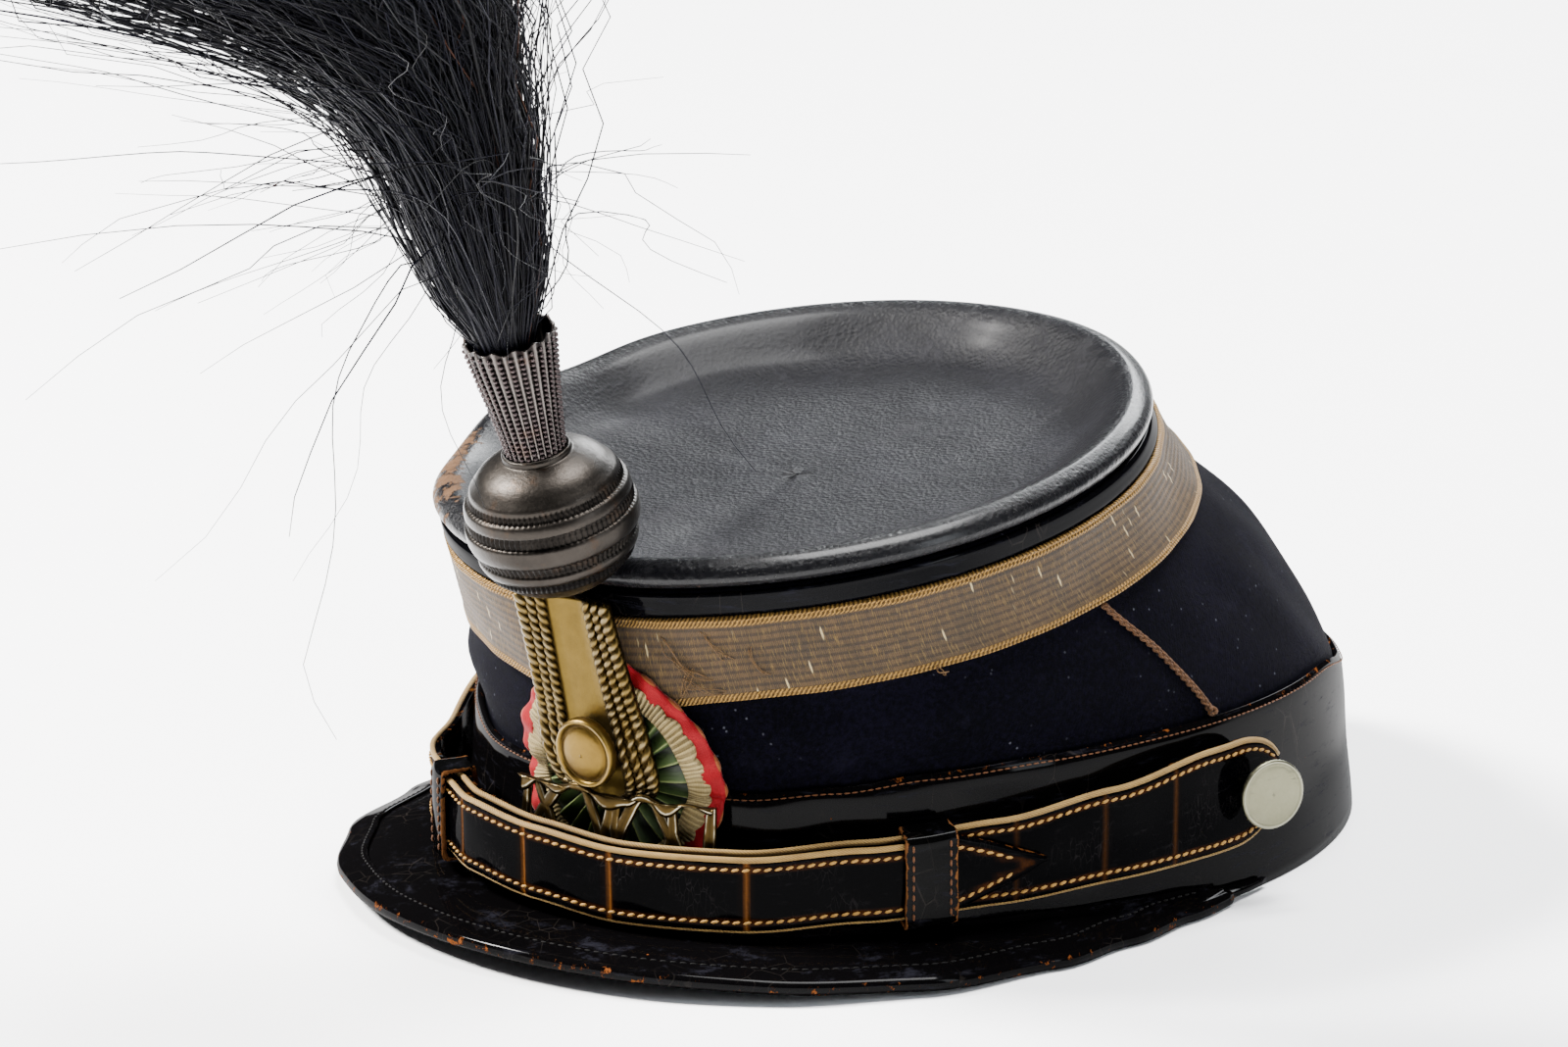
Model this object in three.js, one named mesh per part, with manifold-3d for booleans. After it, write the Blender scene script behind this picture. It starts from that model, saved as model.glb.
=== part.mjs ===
import * as THREE from "three";
import { mergeVertices } from "three/addons/utils/BufferGeometryUtils.js";
import Module from "manifold-3d";

// A kepi with its plume, cockade and chin strap. Millimetres, +Z up, the front of the hat towards -Y
// and the wearer's left towards +X. Angles run round the head in degrees, 0 in front, 90 at the left ear.

// Head band and cloth
const HEAD_LENGTH = 197.6;
const HEAD_WIDTH = 165.2;
const FOREHEAD_TAPER = 0.06; // the plan is narrower than an ellipse in front and wider behind
const BAND_LEAN = 0.088; // how far the band draws in for each millimetre of height
const BAND_HEIGHT = 36.4; // over the ears
const BAND_LEATHER = 1.5;
const CLOTH = 2.2;
const CLEARANCE = 0.3;

// Crown and its sunken top
const CROWN_HEIGHT = 88.5; // middle of the rim's crest above the foot
const TOP_LENGTH = 141.8; // across the crest of the rim
const TOP_WIDTH = 129.4;
const TOP_FORWARD = 34.5; // how far the top sits in front of the head opening
const TOP_TILT = 8.2;
const RIM_ROLL = 4.6; // height of the rolled rim, crest to seam
const TOP_LEATHER = 1.8;
const DISH_DEPTH = 9.5;
const DISH_DOME = 1.2;
const RIM_DENT = 5.2; // how far the worn rim is pressed in where it is pressed in most
const COLLAR_WIDTH = 4.6;
const COLLAR_LEATHER = 1.1;
const GALLOON_WIDTH = 18.6;
const GALLOON_THICKNESS = 1;
const GALLOON_EDGE = 0.5; // how far the woven edges stand out of the lace
const SEAM_CORD = 2.2;
const SEAM_ANGLE = 88;
const SEAM_SPREAD = 0.75; // half the cord's width in degrees

// Peak
const PEAK_REACH = 26.5;
const PEAK_SEAT = 7; // top of the peak on the band, in front
const PEAK_LEATHER = 2.4;
const PEAK_EDGE_LEATHER = 1.2;
const PEAK_EDGE_LIFT = 3.6;
const PEAK_BOW = 0.8;
const BINDING_WIDTH = 5;
const BINDING_LEATHER = 0.7;

// Front trimmings
const TRIM_ANGLE = 4.5; // the trimmings sit a little to the wearer's left of the middle
const COCKADE_DIAMETER = 49;
const COCKADE_HEIGHT = 34.5; // middle of the cockade above the foot
const COCKADE_TURN = 1.5;
const RING_WIDTH = 4.6;
const LACE_WIDTH = 5;
const COCKADE_CLOTH = 1.5;
const PLEATS = 20;
const PLATE_WIDTH = 28;
const PLATE_LENGTH = 41;
const PLATE_LEAN = 5; // how far its foot lies to the wearer's left of its top
const PLATE_BRASS = 1.3;
const PLATE_CORD = 2.7; // pitch of the twisted cords across the plate
const PLATE_RELIEF = 1.2;
const PLATE_TWISTS = 11;
const LOOP_BUTTON_DIAMETER = 14.6;
const LOOP_BUTTON_DOME = 2.4;
const GALLERY_WIDTH = 41;
const GALLERY_HEIGHT = 19;
const GALLERY_BRASS = 1.1;
const GALLERY_BAR = 1.9;

// Plume and its socket
const BALL_DIAMETER = 33;
const BALL_HEIGHT = 30.6;
const BALL_FORWARD = 7.9; // middle of the ball in front of the rim's crest
const BALL_RISE = 9.6; // and above it
const BALL_ASIDE = 2.2; // and to the wearer's left of the trimmings' middle
const PLUME_LEAN = 17;
const SPIKE_LENGTH = 9;
const SPIKE_THICKNESS = 1.4;
const SPIKE_WIDTH = 5;
const SLEEVE_LENGTH = 23.9;
const SLEEVE_FOOT = 10.6;
const SLEEVE_MOUTH = 17.4;
const SLEEVE_METAL = 0.9;
const SLEEVE_FLUTES = 13;
const PLUME_LENGTH = 150;
const PLUME_NECK = 13;

// Chin strap and side buttons
const STRAP_WIDTH = 14.2;
const STRAP_LEATHER = 2;
const STRAP_TAB = 21; // width of the strap's end at the side button
const STRAP_STAND_OFF = 5.2; // room between band and strap in front, for the trimmings
const STRAP_HEIGHT = 22.9; // middle of the strap at the side buttons
const SEAT_RETURN = 18; // degrees past the tip below it in which the upper half comes back to its seat
const TAB_ANGLE = 96;
const TIP_ANGLE_LEFT = 61; // how far each half's pointed tip reaches past the middle
const TIP_ANGLE_RIGHT = 36;
const KEEPER_ANGLE_LEFT = 47.5;
const KEEPER_ANGLE_RIGHT = -22;
const KEEPER_WIDTH = 10;
const KEEPER_LEATHER = 1.2;
const BUTTON_DIAMETER = 13.8;
const BUTTON_METAL = 1.8;
const BUTTON_ANGLE = 91;
const BUTTON_SHANK = 4.6;
const BUTTON_TURN = 20; // the loose buttons have turned their faces forward

const rad = THREE.MathUtils.degToRad;
const { lerp, smoothstep, clamp } = THREE.MathUtils;
const UP = new THREE.Vector3(0, 0, 1);

// Reads a column of a table at an angle, straight between its rows.
function column(table, name, at, key = "angle") {
  const last = table.length - 1;
  if (at <= table[0][key]) return table[0][name];
  if (at >= table[last][key]) return table[last][name];
  const i = table.findIndex((row) => row[key] > at);
  const low = table[i - 1];
  const high = table[i];
  const share = (at - low[key]) / (high[key] - low[key]);
  const eased = share * share * (3 - 2 * share);
  return lerp(low[name], high[name], eased);
}

function range(count, from, to) {
  return Array.from({ length: count + 1 }, (_, i) => lerp(from, to, i / count));
}

// Skins a row of closed sections. A round loft joins its last section to its first, any other is capped.
function loft(sections, round = false) {
  const count = sections[0].length;
  const points = sections.flat();
  const faces = [];
  const rows = round ? sections.length : sections.length - 1;
  for (let i = 0; i < rows; i++) {
    for (let j = 0; j < count; j++) {
      const a = i * count + j;
      const b = i * count + ((j + 1) % count);
      const c = ((i + 1) % sections.length) * count + ((j + 1) % count);
      const d = ((i + 1) % sections.length) * count + j;
      faces.push([a, b, c], [a, c, d]);
    }
  }
  if (!round) {
    const end = (sections.length - 1) * count;
    for (const [a, b, c] of capFaces(sections[0])) faces.push([a, c, b]);
    for (const [a, b, c] of capFaces(sections.at(-1))) faces.push([a + end, b + end, c + end]);
  }
  return meshOf(points, faces);
}

// Triangles over one section, hollow outlines included, that turn the way the section runs.
function capFaces(ring) {
  const normal = new THREE.Vector3();
  const cross = new THREE.Vector3();
  ring.forEach((point, i) => normal.add(cross.crossVectors(point, ring[(i + 1) % ring.length])));
  const across = Math.abs(normal.x) > Math.abs(normal.z) ? UP.clone() : new THREE.Vector3(1, 0, 0);
  across.cross(normal).normalize();
  const along = normal.clone().cross(across).normalize();
  const flat = ring.map((point) => new THREE.Vector2(point.dot(across), point.dot(along)));
  return THREE.ShapeUtils.triangulateShape(flat.slice(), []).map(([a, b, c]) =>
    THREE.ShapeUtils.area([flat[a], flat[b], flat[c]]) < 0 ? [a, c, b] : [a, b, c],
  );
}

// A closed geometry from points and faces, turned so that its faces point out.
function meshOf(points, faces) {
  let volume = 0;
  const cross = new THREE.Vector3();
  for (const [a, b, c] of faces) volume += cross.crossVectors(points[b], points[c]).dot(points[a]);
  const flat = faces.flatMap(([a, b, c]) => (volume < 0 ? [a, c, b] : [a, b, c]));
  const geometry = new THREE.BufferGeometry().setFromPoints(points);
  geometry.setIndex(flat);
  return geometry;
}

// Joining and cutting of closed shapes
const wasm = await Module();
wasm.setup();

function solid(geometry) {
  const bare = geometry.clone();
  bare.deleteAttribute("normal");
  bare.deleteAttribute("uv");
  const merged = mergeVertices(bare, 1e-4);
  return new wasm.Manifold(
    new wasm.Mesh({
      numProp: 3,
      vertProperties: merged.getAttribute("position").array,
      triVerts: new Uint32Array(merged.index.array),
    }),
  );
}

function geometryOf(body) {
  const mesh = body.getMesh();
  return new THREE.BufferGeometry()
    .setAttribute("position", new THREE.BufferAttribute(mesh.vertProperties, 3))
    .setIndex(new THREE.BufferAttribute(mesh.triVerts, 1));
}

function joined(geometries) {
  return geometryOf(geometries.map(solid).reduce((whole, part) => whole.add(part)));
}

// Head band: the outside of the band at a height, and the height of its upper edge
function bandPoint(angle, height, out = 0) {
  const a = HEAD_LENGTH / 2 - BAND_LEAN * height + out;
  const b = HEAD_WIDTH / 2 - BAND_LEAN * height + out;
  const cos = Math.cos(rad(angle));
  return new THREE.Vector3(b * Math.sin(rad(angle)) * (1 - FOREHEAD_TAPER * cos), -a * cos, height);
}

// The band's height round the head, as a share of its height over the ears.
const BAND_ROWS = [
  { angle: 0, height: 0.885 },
  { angle: 25, height: 0.876 },
  { angle: 37, height: 0.915 },
  { angle: 49, height: 0.965 },
  { angle: 64, height: 0.992 },
  { angle: 80, height: 1 },
  { angle: 114, height: 0.99 },
  { angle: 138, height: 0.83 },
  { angle: 180, height: 0.79 },
];

function bandHeight(angle) {
  const turned = Math.abs(((angle + 540) % 360) - 180);
  return BAND_HEIGHT * column(BAND_ROWS, "height", turned);
}

function bandNormal(angle, height = 0) {
  const ahead = bandPoint(angle + 1, height).sub(bandPoint(angle - 1, height));
  return new THREE.Vector3(ahead.y, -ahead.x, 0).normalize();
}

// Crown: rows of the cloth's outer face above the band. Height and forward are shares of the crown's
// height and of how far the top sits forward, length and width shares of the top's length and width.
const CROWN_ROWS = [
  { height: 0.565, forward: 0.3, length: 1.22, width: 1.145, tilt: 0.75 },
  { height: 0.724, forward: 0.67, length: 1.062, width: 1.045, tilt: 1.41 },
];

// Dents of the worn rim: how far the crest sinks and draws in around an angle, as shares of the dent.
const RIM_DENTS = [
  { angle: 6, spread: 17, sink: 0.5, draw: 1 },
  { angle: -62, spread: 15, sink: 0.31, draw: 0.27 },
  { angle: -98, spread: 10, sink: 0.17, draw: 0.1 },
  { angle: 150, spread: 22, sink: -0.15, draw: 0.06 },
];

function tiltedRing(angle, { height, forward, length, width, tilt }) {
  const along = -Math.cos(rad(angle)) * length;
  return new THREE.Vector3(
    width * Math.sin(rad(angle)),
    -forward + along * Math.cos(rad(tilt)),
    height + along * Math.sin(rad(tilt)),
  );
}

function dentAt(angle, name) {
  return RIM_DENTS.reduce((sum, dent) => {
    const away = ((angle - dent.angle + 540) % 360) - 180;
    return sum + RIM_DENT * dent[name] * Math.exp(-((away / dent.spread) ** 2));
  }, 0);
}

// A ring of the top, given by its distance in from the crest and down from the crest's plane.
function rimPoint(angle, inward, down) {
  const fade = smoothstep(TOP_WIDTH / 2 - inward, TOP_WIDTH / 6, TOP_WIDTH / 2);
  const shrink = inward + fade * dentAt(angle, "draw");
  const drop = down + fade * dentAt(angle, "sink");
  const ring = {
    height: CROWN_HEIGHT - drop * Math.cos(rad(TOP_TILT)),
    forward: TOP_FORWARD - drop * Math.sin(rad(TOP_TILT)),
    length: TOP_LENGTH / 2 - shrink,
    width: TOP_WIDTH / 2 - shrink,
    tilt: TOP_TILT,
  };
  return tiltedRing(angle, ring);
}

// The line that the cloth's outer face follows from foot to rim at one angle.
function wallLine(angle) {
  const tuck = -BAND_LEATHER - CLEARANCE;
  const rows = CROWN_ROWS.map((row) =>
    tiltedRing(angle, {
      height: row.height * CROWN_HEIGHT,
      forward: row.forward * TOP_FORWARD,
      length: (row.length * TOP_LENGTH) / 2,
      width: (row.width * TOP_WIDTH) / 2,
      tilt: row.tilt * TOP_TILT,
    }),
  );
  const band = [0, 0.5, 0.85, 1].map((share) => bandPoint(angle, share * bandHeight(angle), tuck));
  const edge = rimPoint(angle, -RIM_ROLL * 0.3, RIM_ROLL + TOP_LEATHER * 0.5 + 2 * CLEARANCE);
  return new THREE.CatmullRomCurve3([...band, ...rows, edge], false, "centripetal");
}

// A point of the wall, measured down from its upper edge and out from the cloth's face.
function wallPoint(angle, down, out) {
  const lines = [angle - 1, angle, angle + 1].map(wallLine);
  const [before, here, after] = lines.map((line) =>
    line.getPointAt(clamp(1 - down / line.getLength(), 0, 1)),
  );
  const line = lines[1];
  const rise = line.getTangentAt(clamp(1 - down / line.getLength(), 0, 1));
  const normal = after.sub(before).cross(rise).normalize();
  return here.addScaledVector(normal, out);
}

// How far down the wall its line passes a height.
function wallDown(angle, height) {
  const line = wallLine(angle);
  let low = 0;
  let high = line.getLength();
  for (let i = 0; i < 16; i++) {
    const middle = (low + high) / 2;
    if (line.getPointAt(1 - middle / line.getLength()).z > height) low = middle;
    else high = middle;
  }
  return low;
}

const WALL_COUNT = 42;
const WALL_STEPS = range(WALL_COUNT - 1, 0, 360 - 360 / WALL_COUNT);
const LACE_TOP = COLLAR_WIDTH + CLEARANCE;
const LACE_FOOT = LACE_TOP + GALLOON_WIDTH;
const LACE_LEVELS = [LACE_TOP, (LACE_TOP + LACE_FOOT) / 2, LACE_FOOT];

function crownWall() {
  return loft(
    WALL_STEPS.map((angle) => {
      const foot = wallLine(angle).getLength();
      const bandTop = wallDown(angle, bandHeight(angle));
      const levels = [0, ...LACE_LEVELS, (LACE_FOOT + bandTop) / 2, bandTop, foot];
      const outer = levels.map((down) => wallPoint(angle, down, 0));
      const inner = levels.map((down) => wallPoint(angle, down, -CLOTH)).reverse();
      inner[0].z = 0;
      return [...outer, ...inner];
    }),
    true,
  );
}

// A strip that goes round the wall, as heights down from the wall's edge with what stands out there.
function wallStrip(back, rows) {
  return loft(
    WALL_STEPS.map((angle) => [
      ...rows.map((row) => wallPoint(angle, row.down, back + row.out)),
      wallPoint(angle, rows.at(-1).down, back),
      wallPoint(angle, (rows[0].down + rows.at(-1).down) / 2, back),
      wallPoint(angle, rows[0].down, back),
    ]),
    true,
  );
}

function headBand() {
  return loft(
    WALL_STEPS.map((angle) => {
      const top = bandHeight(angle);
      const inner = -BAND_LEATHER;
      return [
        bandPoint(angle, 0, 0),
        bandPoint(angle, top - BAND_LEATHER / 2, 0),
        bandPoint(angle, top, -BAND_LEATHER / 2),
        bandPoint(angle, top - BAND_LEATHER / 2, inner),
        bandPoint(angle, 0, inner),
      ];
    }),
    true,
  );
}

// Leather top: rings of its upper face from the middle out over the rim, then back underneath.
// In is the distance from the crest as a share of half the width, or in rolls where the rim turns over.
function crownTop() {
  const half = TOP_WIDTH / 2;
  const roll = RIM_ROLL;
  const floor = DISH_DEPTH;
  const upper = [
    { inward: half * 0.97, down: floor + DISH_DOME },
    { inward: half * 0.55, down: floor + DISH_DOME * 0.5 },
    { inward: half * 0.3, down: floor - DISH_DOME * 0.4 },
    { inward: roll * 2.6, down: floor * 0.74 },
    { inward: roll * 1.5, down: floor * 0.36 },
    { inward: roll * 0.7, down: floor * 0.08 },
    { inward: 0, down: 0 },
    { inward: -roll * 0.55, down: roll * 0.3 },
    { inward: -roll * 0.74, down: roll * 0.68 },
    { inward: -roll * 0.6, down: roll },
  ];
  const under = [
    { inward: roll * 0.1, down: roll + TOP_LEATHER * 0.5 },
    { inward: roll * 1.7, down: floor * 0.5 + TOP_LEATHER },
    { inward: roll * 2.8, down: floor * 0.8 + TOP_LEATHER },
    { inward: half * 0.3, down: floor + TOP_LEATHER },
    { inward: half * 0.97, down: floor + DISH_DOME + TOP_LEATHER },
  ];
  const rings = [...upper, ...under].map(({ inward, down }) =>
    WALL_STEPS.map((angle) => rimPoint(angle, inward, down)),
  );
  return loft(rings);
}

// Peak: what it reaches out of the band, as a share of the reach in front, and the height of its
// upper face on the band, as a share of its seat in front.
const PEAK_ROWS = [
  { angle: 0, reach: 1, seat: 1 },
  { angle: 15, reach: 0.995, seat: 1 },
  { angle: 30, reach: 0.957, seat: 1 },
  { angle: 45, reach: 0.834, seat: 0.98 },
  { angle: 60, reach: 0.571, seat: 0.94 },
  { angle: 70, reach: 0.363, seat: 0.87 },
  { angle: 80, reach: 0.189, seat: 0.74 },
  { angle: 90, reach: 0.08, seat: 0.42 },
  { angle: 96, reach: 0.05, seat: 0.3 },
];
const PEAK_HALF_ANGLE = 95;
const PEAK_STEPS = range(34, -PEAK_HALF_ANGLE, PEAK_HALF_ANGLE);
const BINDING_STEPS = PEAK_STEPS.filter((angle) => Math.abs(angle) < 88);

function peakReach(angle) {
  return PEAK_REACH * column(PEAK_ROWS, "reach", Math.abs(angle));
}

// Upper face of the peak at a share of the way from the band to the edge.
function peakTop(angle, share) {
  const seat = PEAK_SEAT * column(PEAK_ROWS, "seat", Math.abs(angle));
  const bound = BINDING_LEATHER + CLEARANCE;
  const lift = PEAK_EDGE_LIFT * Math.max(0, Math.cos(rad(angle * 1.35))) ** 2;
  const edge = Math.min(seat, bound + PEAK_EDGE_LEATHER + lift);
  const bow = PEAK_BOW * Math.sin(Math.PI * share) * smoothstep(peakReach(angle), 0, PEAK_REACH);
  return lerp(seat, edge, share) + bow;
}

function peakPoint(angle, share, drop) {
  const out = lerp(CLEARANCE, peakReach(angle), share);
  const point = bandPoint(angle, 0).addScaledVector(bandNormal(angle), out);
  point.z = peakTop(angle, Math.min(share, 1)) - drop;
  return point;
}

function peakThickness(angle, share) {
  const room = peakTop(angle, share) - BINDING_LEATHER - CLEARANCE;
  return Math.min(lerp(PEAK_LEATHER, PEAK_EDGE_LEATHER, share), room);
}

// Share of the way to the edge at which the binding begins.
function boundShare(angle) {
  const reach = peakReach(angle);
  return 1 - Math.min(BINDING_WIDTH, reach * 0.7) / reach;
}

function peakSheet() {
  return loft(
    PEAK_STEPS.map((angle) => {
      const bound = boundShare(angle);
      const shares = [0, bound * 0.55, bound, 1];
      const upper = shares.map((share) => peakPoint(angle, share, 0));
      const lower = shares.map((share) => peakPoint(angle, share, peakThickness(angle, share)));
      return [...upper, ...lower.reverse()];
    }),
  );
}

// A channel of thin leather folded over the peak's edge.
function peakBinding() {
  return loft(
    BINDING_STEPS.map((angle) => {
      const reach = peakReach(angle);
      const inner = boundShare(angle);
      const outer = 1 + CLEARANCE / reach;
      const rim = 1 + (CLEARANCE + BINDING_LEATHER) / reach;
      const above = -CLEARANCE;
      const below = (share) => peakThickness(angle, Math.min(share, 1)) + CLEARANCE;
      return [
        peakPoint(angle, inner, above),
        peakPoint(angle, inner, above - BINDING_LEATHER),
        peakPoint(angle, outer, above - BINDING_LEATHER),
        peakPoint(angle, rim, above),
        peakPoint(angle, rim, below(1)),
        peakPoint(angle, outer, below(1) + BINDING_LEATHER),
        peakPoint(angle, inner, below(inner) + BINDING_LEATHER),
        peakPoint(angle, inner, below(inner)),
        peakPoint(angle, outer, below(1)),
        peakPoint(angle, outer, above),
      ];
    }),
  );
}

// Braided cord over a side seam, from the galloon's foot to the band.
function seamCord(side) {
  const start = COLLAR_WIDTH + GALLOON_WIDTH + 2 * CLEARANCE;
  const sections = range(12, 0, 1).map((share) => {
    const angle = side * lerp(SEAM_ANGLE, SEAM_ANGLE + 1, share);
    const line = wallLine(angle);
    const band = line.getLength() - bandHeight(angle) - CLEARANCE * 2;
    const down = lerp(start, band, share);
    const at = (turn, out) => wallPoint(angle + turn, down, out);
    const half = SEAM_SPREAD;
    return [
      at(-half, 2 * CLEARANCE),
      at(-half, CLEARANCE + SEAM_CORD * 0.4),
      at(-half * 0.5, CLEARANCE + SEAM_CORD * 0.62),
      at(0, CLEARANCE + SEAM_CORD * 0.42),
      at(half * 0.5, CLEARANCE + SEAM_CORD * 0.62),
      at(half, CLEARANCE + SEAM_CORD * 0.4),
      at(half, 2 * CLEARANCE),
    ];
  });
  return loft(sections);
}

// Front trimmings lie on a face that follows the wall and passes in front of the band and the galloon.
const TRIM_SEAT = BAND_LEATHER + 3 * CLEARANCE;

// A point of that face: across it from the trimmings' middle, at a height, and out from its seat.
function trimPoint(across, height, out) {
  const reach = (HEAD_WIDTH / 2) * Math.cos(rad(TRIM_ANGLE));
  const angle = TRIM_ANGLE + THREE.MathUtils.radToDeg(across / reach);
  return wallPoint(angle, wallDown(angle, height), TRIM_SEAT + out);
}

// A pleated ring of the cockade, between two radii, in so many steps from one to the other.
function cockadeRing(from, to, out, thickness, pleat, steps = 1) {
  const middle = (rad(COCKADE_TURN) * HEAD_WIDTH) / 2;
  const count = PLEATS * 2;
  const at = (radius, turn, lift) =>
    trimPoint(middle + radius * Math.sin(turn), COCKADE_HEIGHT + radius * Math.cos(turn), lift);
  const turns = Array.from({ length: count }, (_, i) => (i / count) * 2 * Math.PI);
  return loft(
    turns.map((turn, i) => {
      const fold = i % 2 ? pleat : 0;
      const radii = range(steps, from, to);
      const front = radii.map((radius) => at(radius, turn, out + thickness + (fold * radius) / to));
      const back = radii.map((radius) => at(radius, turn, out));
      return [...front, ...back.reverse()];
    }),
    true,
  );
}

// The green heart is a closed pleated disc, its hub under the loop plate.
function cockadeHeart(radius, out, thickness, pleat) {
  return cockadeRing(radius * 0.2, radius, out, thickness, pleat, 3);
}

// Brass loop plate: rows down the plate and columns across it, with three twisted cords each side.
function loopPlate() {
  const out = COCKADE_CLOTH + 3 * CLEARANCE;
  const half = PLATE_WIDTH / 2;
  const rows = PLATE_TWISTS * 2;
  const top = plateTop();
  return loft(
    range(rows, 0, 1).map((share, i) => {
      const round = clamp((1 - share) * PLATE_LENGTH, 0, half * 0.7) / (half * 0.7);
      const spread = (1 - 0.12 * share) * lerp(0.45, 1, Math.sqrt(1 - (1 - round) ** 2));
      const height = top - share * PLATE_LENGTH;
      const at = (across, lift) => trimPoint(plateLean(share) + across * spread, height, out + lift);
      const front = [];
      const cord = (edge, side) => {
        const lead = i % 2 ? 1 : 0.45;
        const trail = i % 2 ? 0.45 : 1;
        front.push(at(edge + side * 0.06 * PLATE_CORD, PLATE_BRASS));
        front.push(at(edge + side * 0.35 * PLATE_CORD, PLATE_BRASS + PLATE_RELIEF * lead));
        front.push(at(edge + side * 0.7 * PLATE_CORD, PLATE_BRASS + PLATE_RELIEF * trail));
      };
      for (let k = 0; k < 3; k++) cord(-half + k * PLATE_CORD, 1);
      front.push(at(-half + 3.1 * PLATE_CORD, PLATE_BRASS * 0.8));
      front.push(at(half - 3.1 * PLATE_CORD, PLATE_BRASS * 0.8));
      for (let k = 2; k >= 0; k--) cord(half - (k + 1) * PLATE_CORD, 1);
      return [at(-half, 0), ...front, at(half, PLATE_BRASS), at(half, 0)];
    }),
  );
}

// How far the plate's middle line lies to the wearer's left, at a share of its length from the top.
function plateLean(share) {
  return PLATE_LEAN * (share - 0.45);
}

function plateTop() {
  const rim = rimPoint(TRIM_ANGLE, 0, RIM_ROLL);
  return rim.z - CLEARANCE * 6;
}

// Places a shape made round +Z at a point, with +Z turned to a direction.
function aimed(geometry, point, direction) {
  geometry.applyQuaternion(new THREE.Quaternion().setFromUnitVectors(UP, direction));
  geometry.translate(point.x, point.y, point.z);
  return geometry;
}

function lathe(profile, steps) {
  return new THREE.LatheGeometry(
    profile.map(([radius, height]) => new THREE.Vector2(radius, height)),
    steps,
  ).rotateX(Math.PI / 2);
}

function trimFacing(across, height) {
  const sideways = trimPoint(across + 1, height, 0).sub(trimPoint(across - 1, height, 0));
  const upward = trimPoint(across, height + 1, 0).sub(trimPoint(across, height - 1, 0));
  return sideways.cross(upward).normalize();
}

// Places a turned shape where the domed boss lies, with its seat clear of the plate's curve.
function onBossSeat(profile) {
  const radius = LOOP_BUTTON_DIAMETER / 2;
  const share = 1 - (radius * 1.6) / PLATE_LENGTH;
  const height = plateTop() - share * PLATE_LENGTH;
  const out = COCKADE_CLOTH + 4 * CLEARANCE + PLATE_BRASS + PLATE_RELIEF;
  const across = plateLean(share);
  const facing = trimFacing(across, height);
  const middle = trimPoint(across, height, out);
  const rise = range(11, 0, (2 * Math.PI * 11) / 12).map((turn) => {
    const rim = trimPoint(across + radius * Math.sin(turn), height + radius * Math.cos(turn), out);
    return rim.sub(middle).dot(facing);
  });
  middle.addScaledVector(facing, Math.max(0, ...rise));
  return aimed(lathe(profile, 20), middle, facing);
}

function loopButton() {
  const radius = LOOP_BUTTON_DIAMETER / 2;
  const dome = LOOP_BUTTON_DOME;
  return onBossSeat([
    [0, 0],
    [radius * 0.92, 0],
    [radius, dome * 0.2],
    [radius * 0.96, dome * 0.52],
    [radius * 0.86, dome * 0.6],
    [radius * 0.8, dome * 0.42],
    [radius * 0.7, dome * 0.5],
    [radius * 0.4, dome * 0.88],
    [0, dome],
  ]);
}

// The room that the gallery leaves for the boss.
function bossRoom() {
  const radius = LOOP_BUTTON_DIAMETER / 2 + CLEARANCE;
  const dome = LOOP_BUTTON_DOME + CLEARANCE;
  return onBossSeat([[0, -CLEARANCE], [radius, -CLEARANCE], [radius, dome], [0, dome]]);
}

// Pierced gallery strip: a wavy upper rail, a lower rail, and scrolls and struts between them.
// The rail's height along the strip is a share of the strip's height.
const GALLERY_RAIL = [
  { along: -1, height: 0.74 },
  { along: -0.8, height: 0.86 },
  { along: -0.56, height: 0.78 },
  { along: -0.32, height: 0.98 },
  { along: 0, height: 0.74 },
  { along: 0.2, height: 0.78 },
  { along: 0.36, height: 0.98 },
  { along: 0.58, height: 0.74 },
  { along: 0.76, height: 0.9 },
  { along: 1, height: 0.78 },
];

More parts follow.
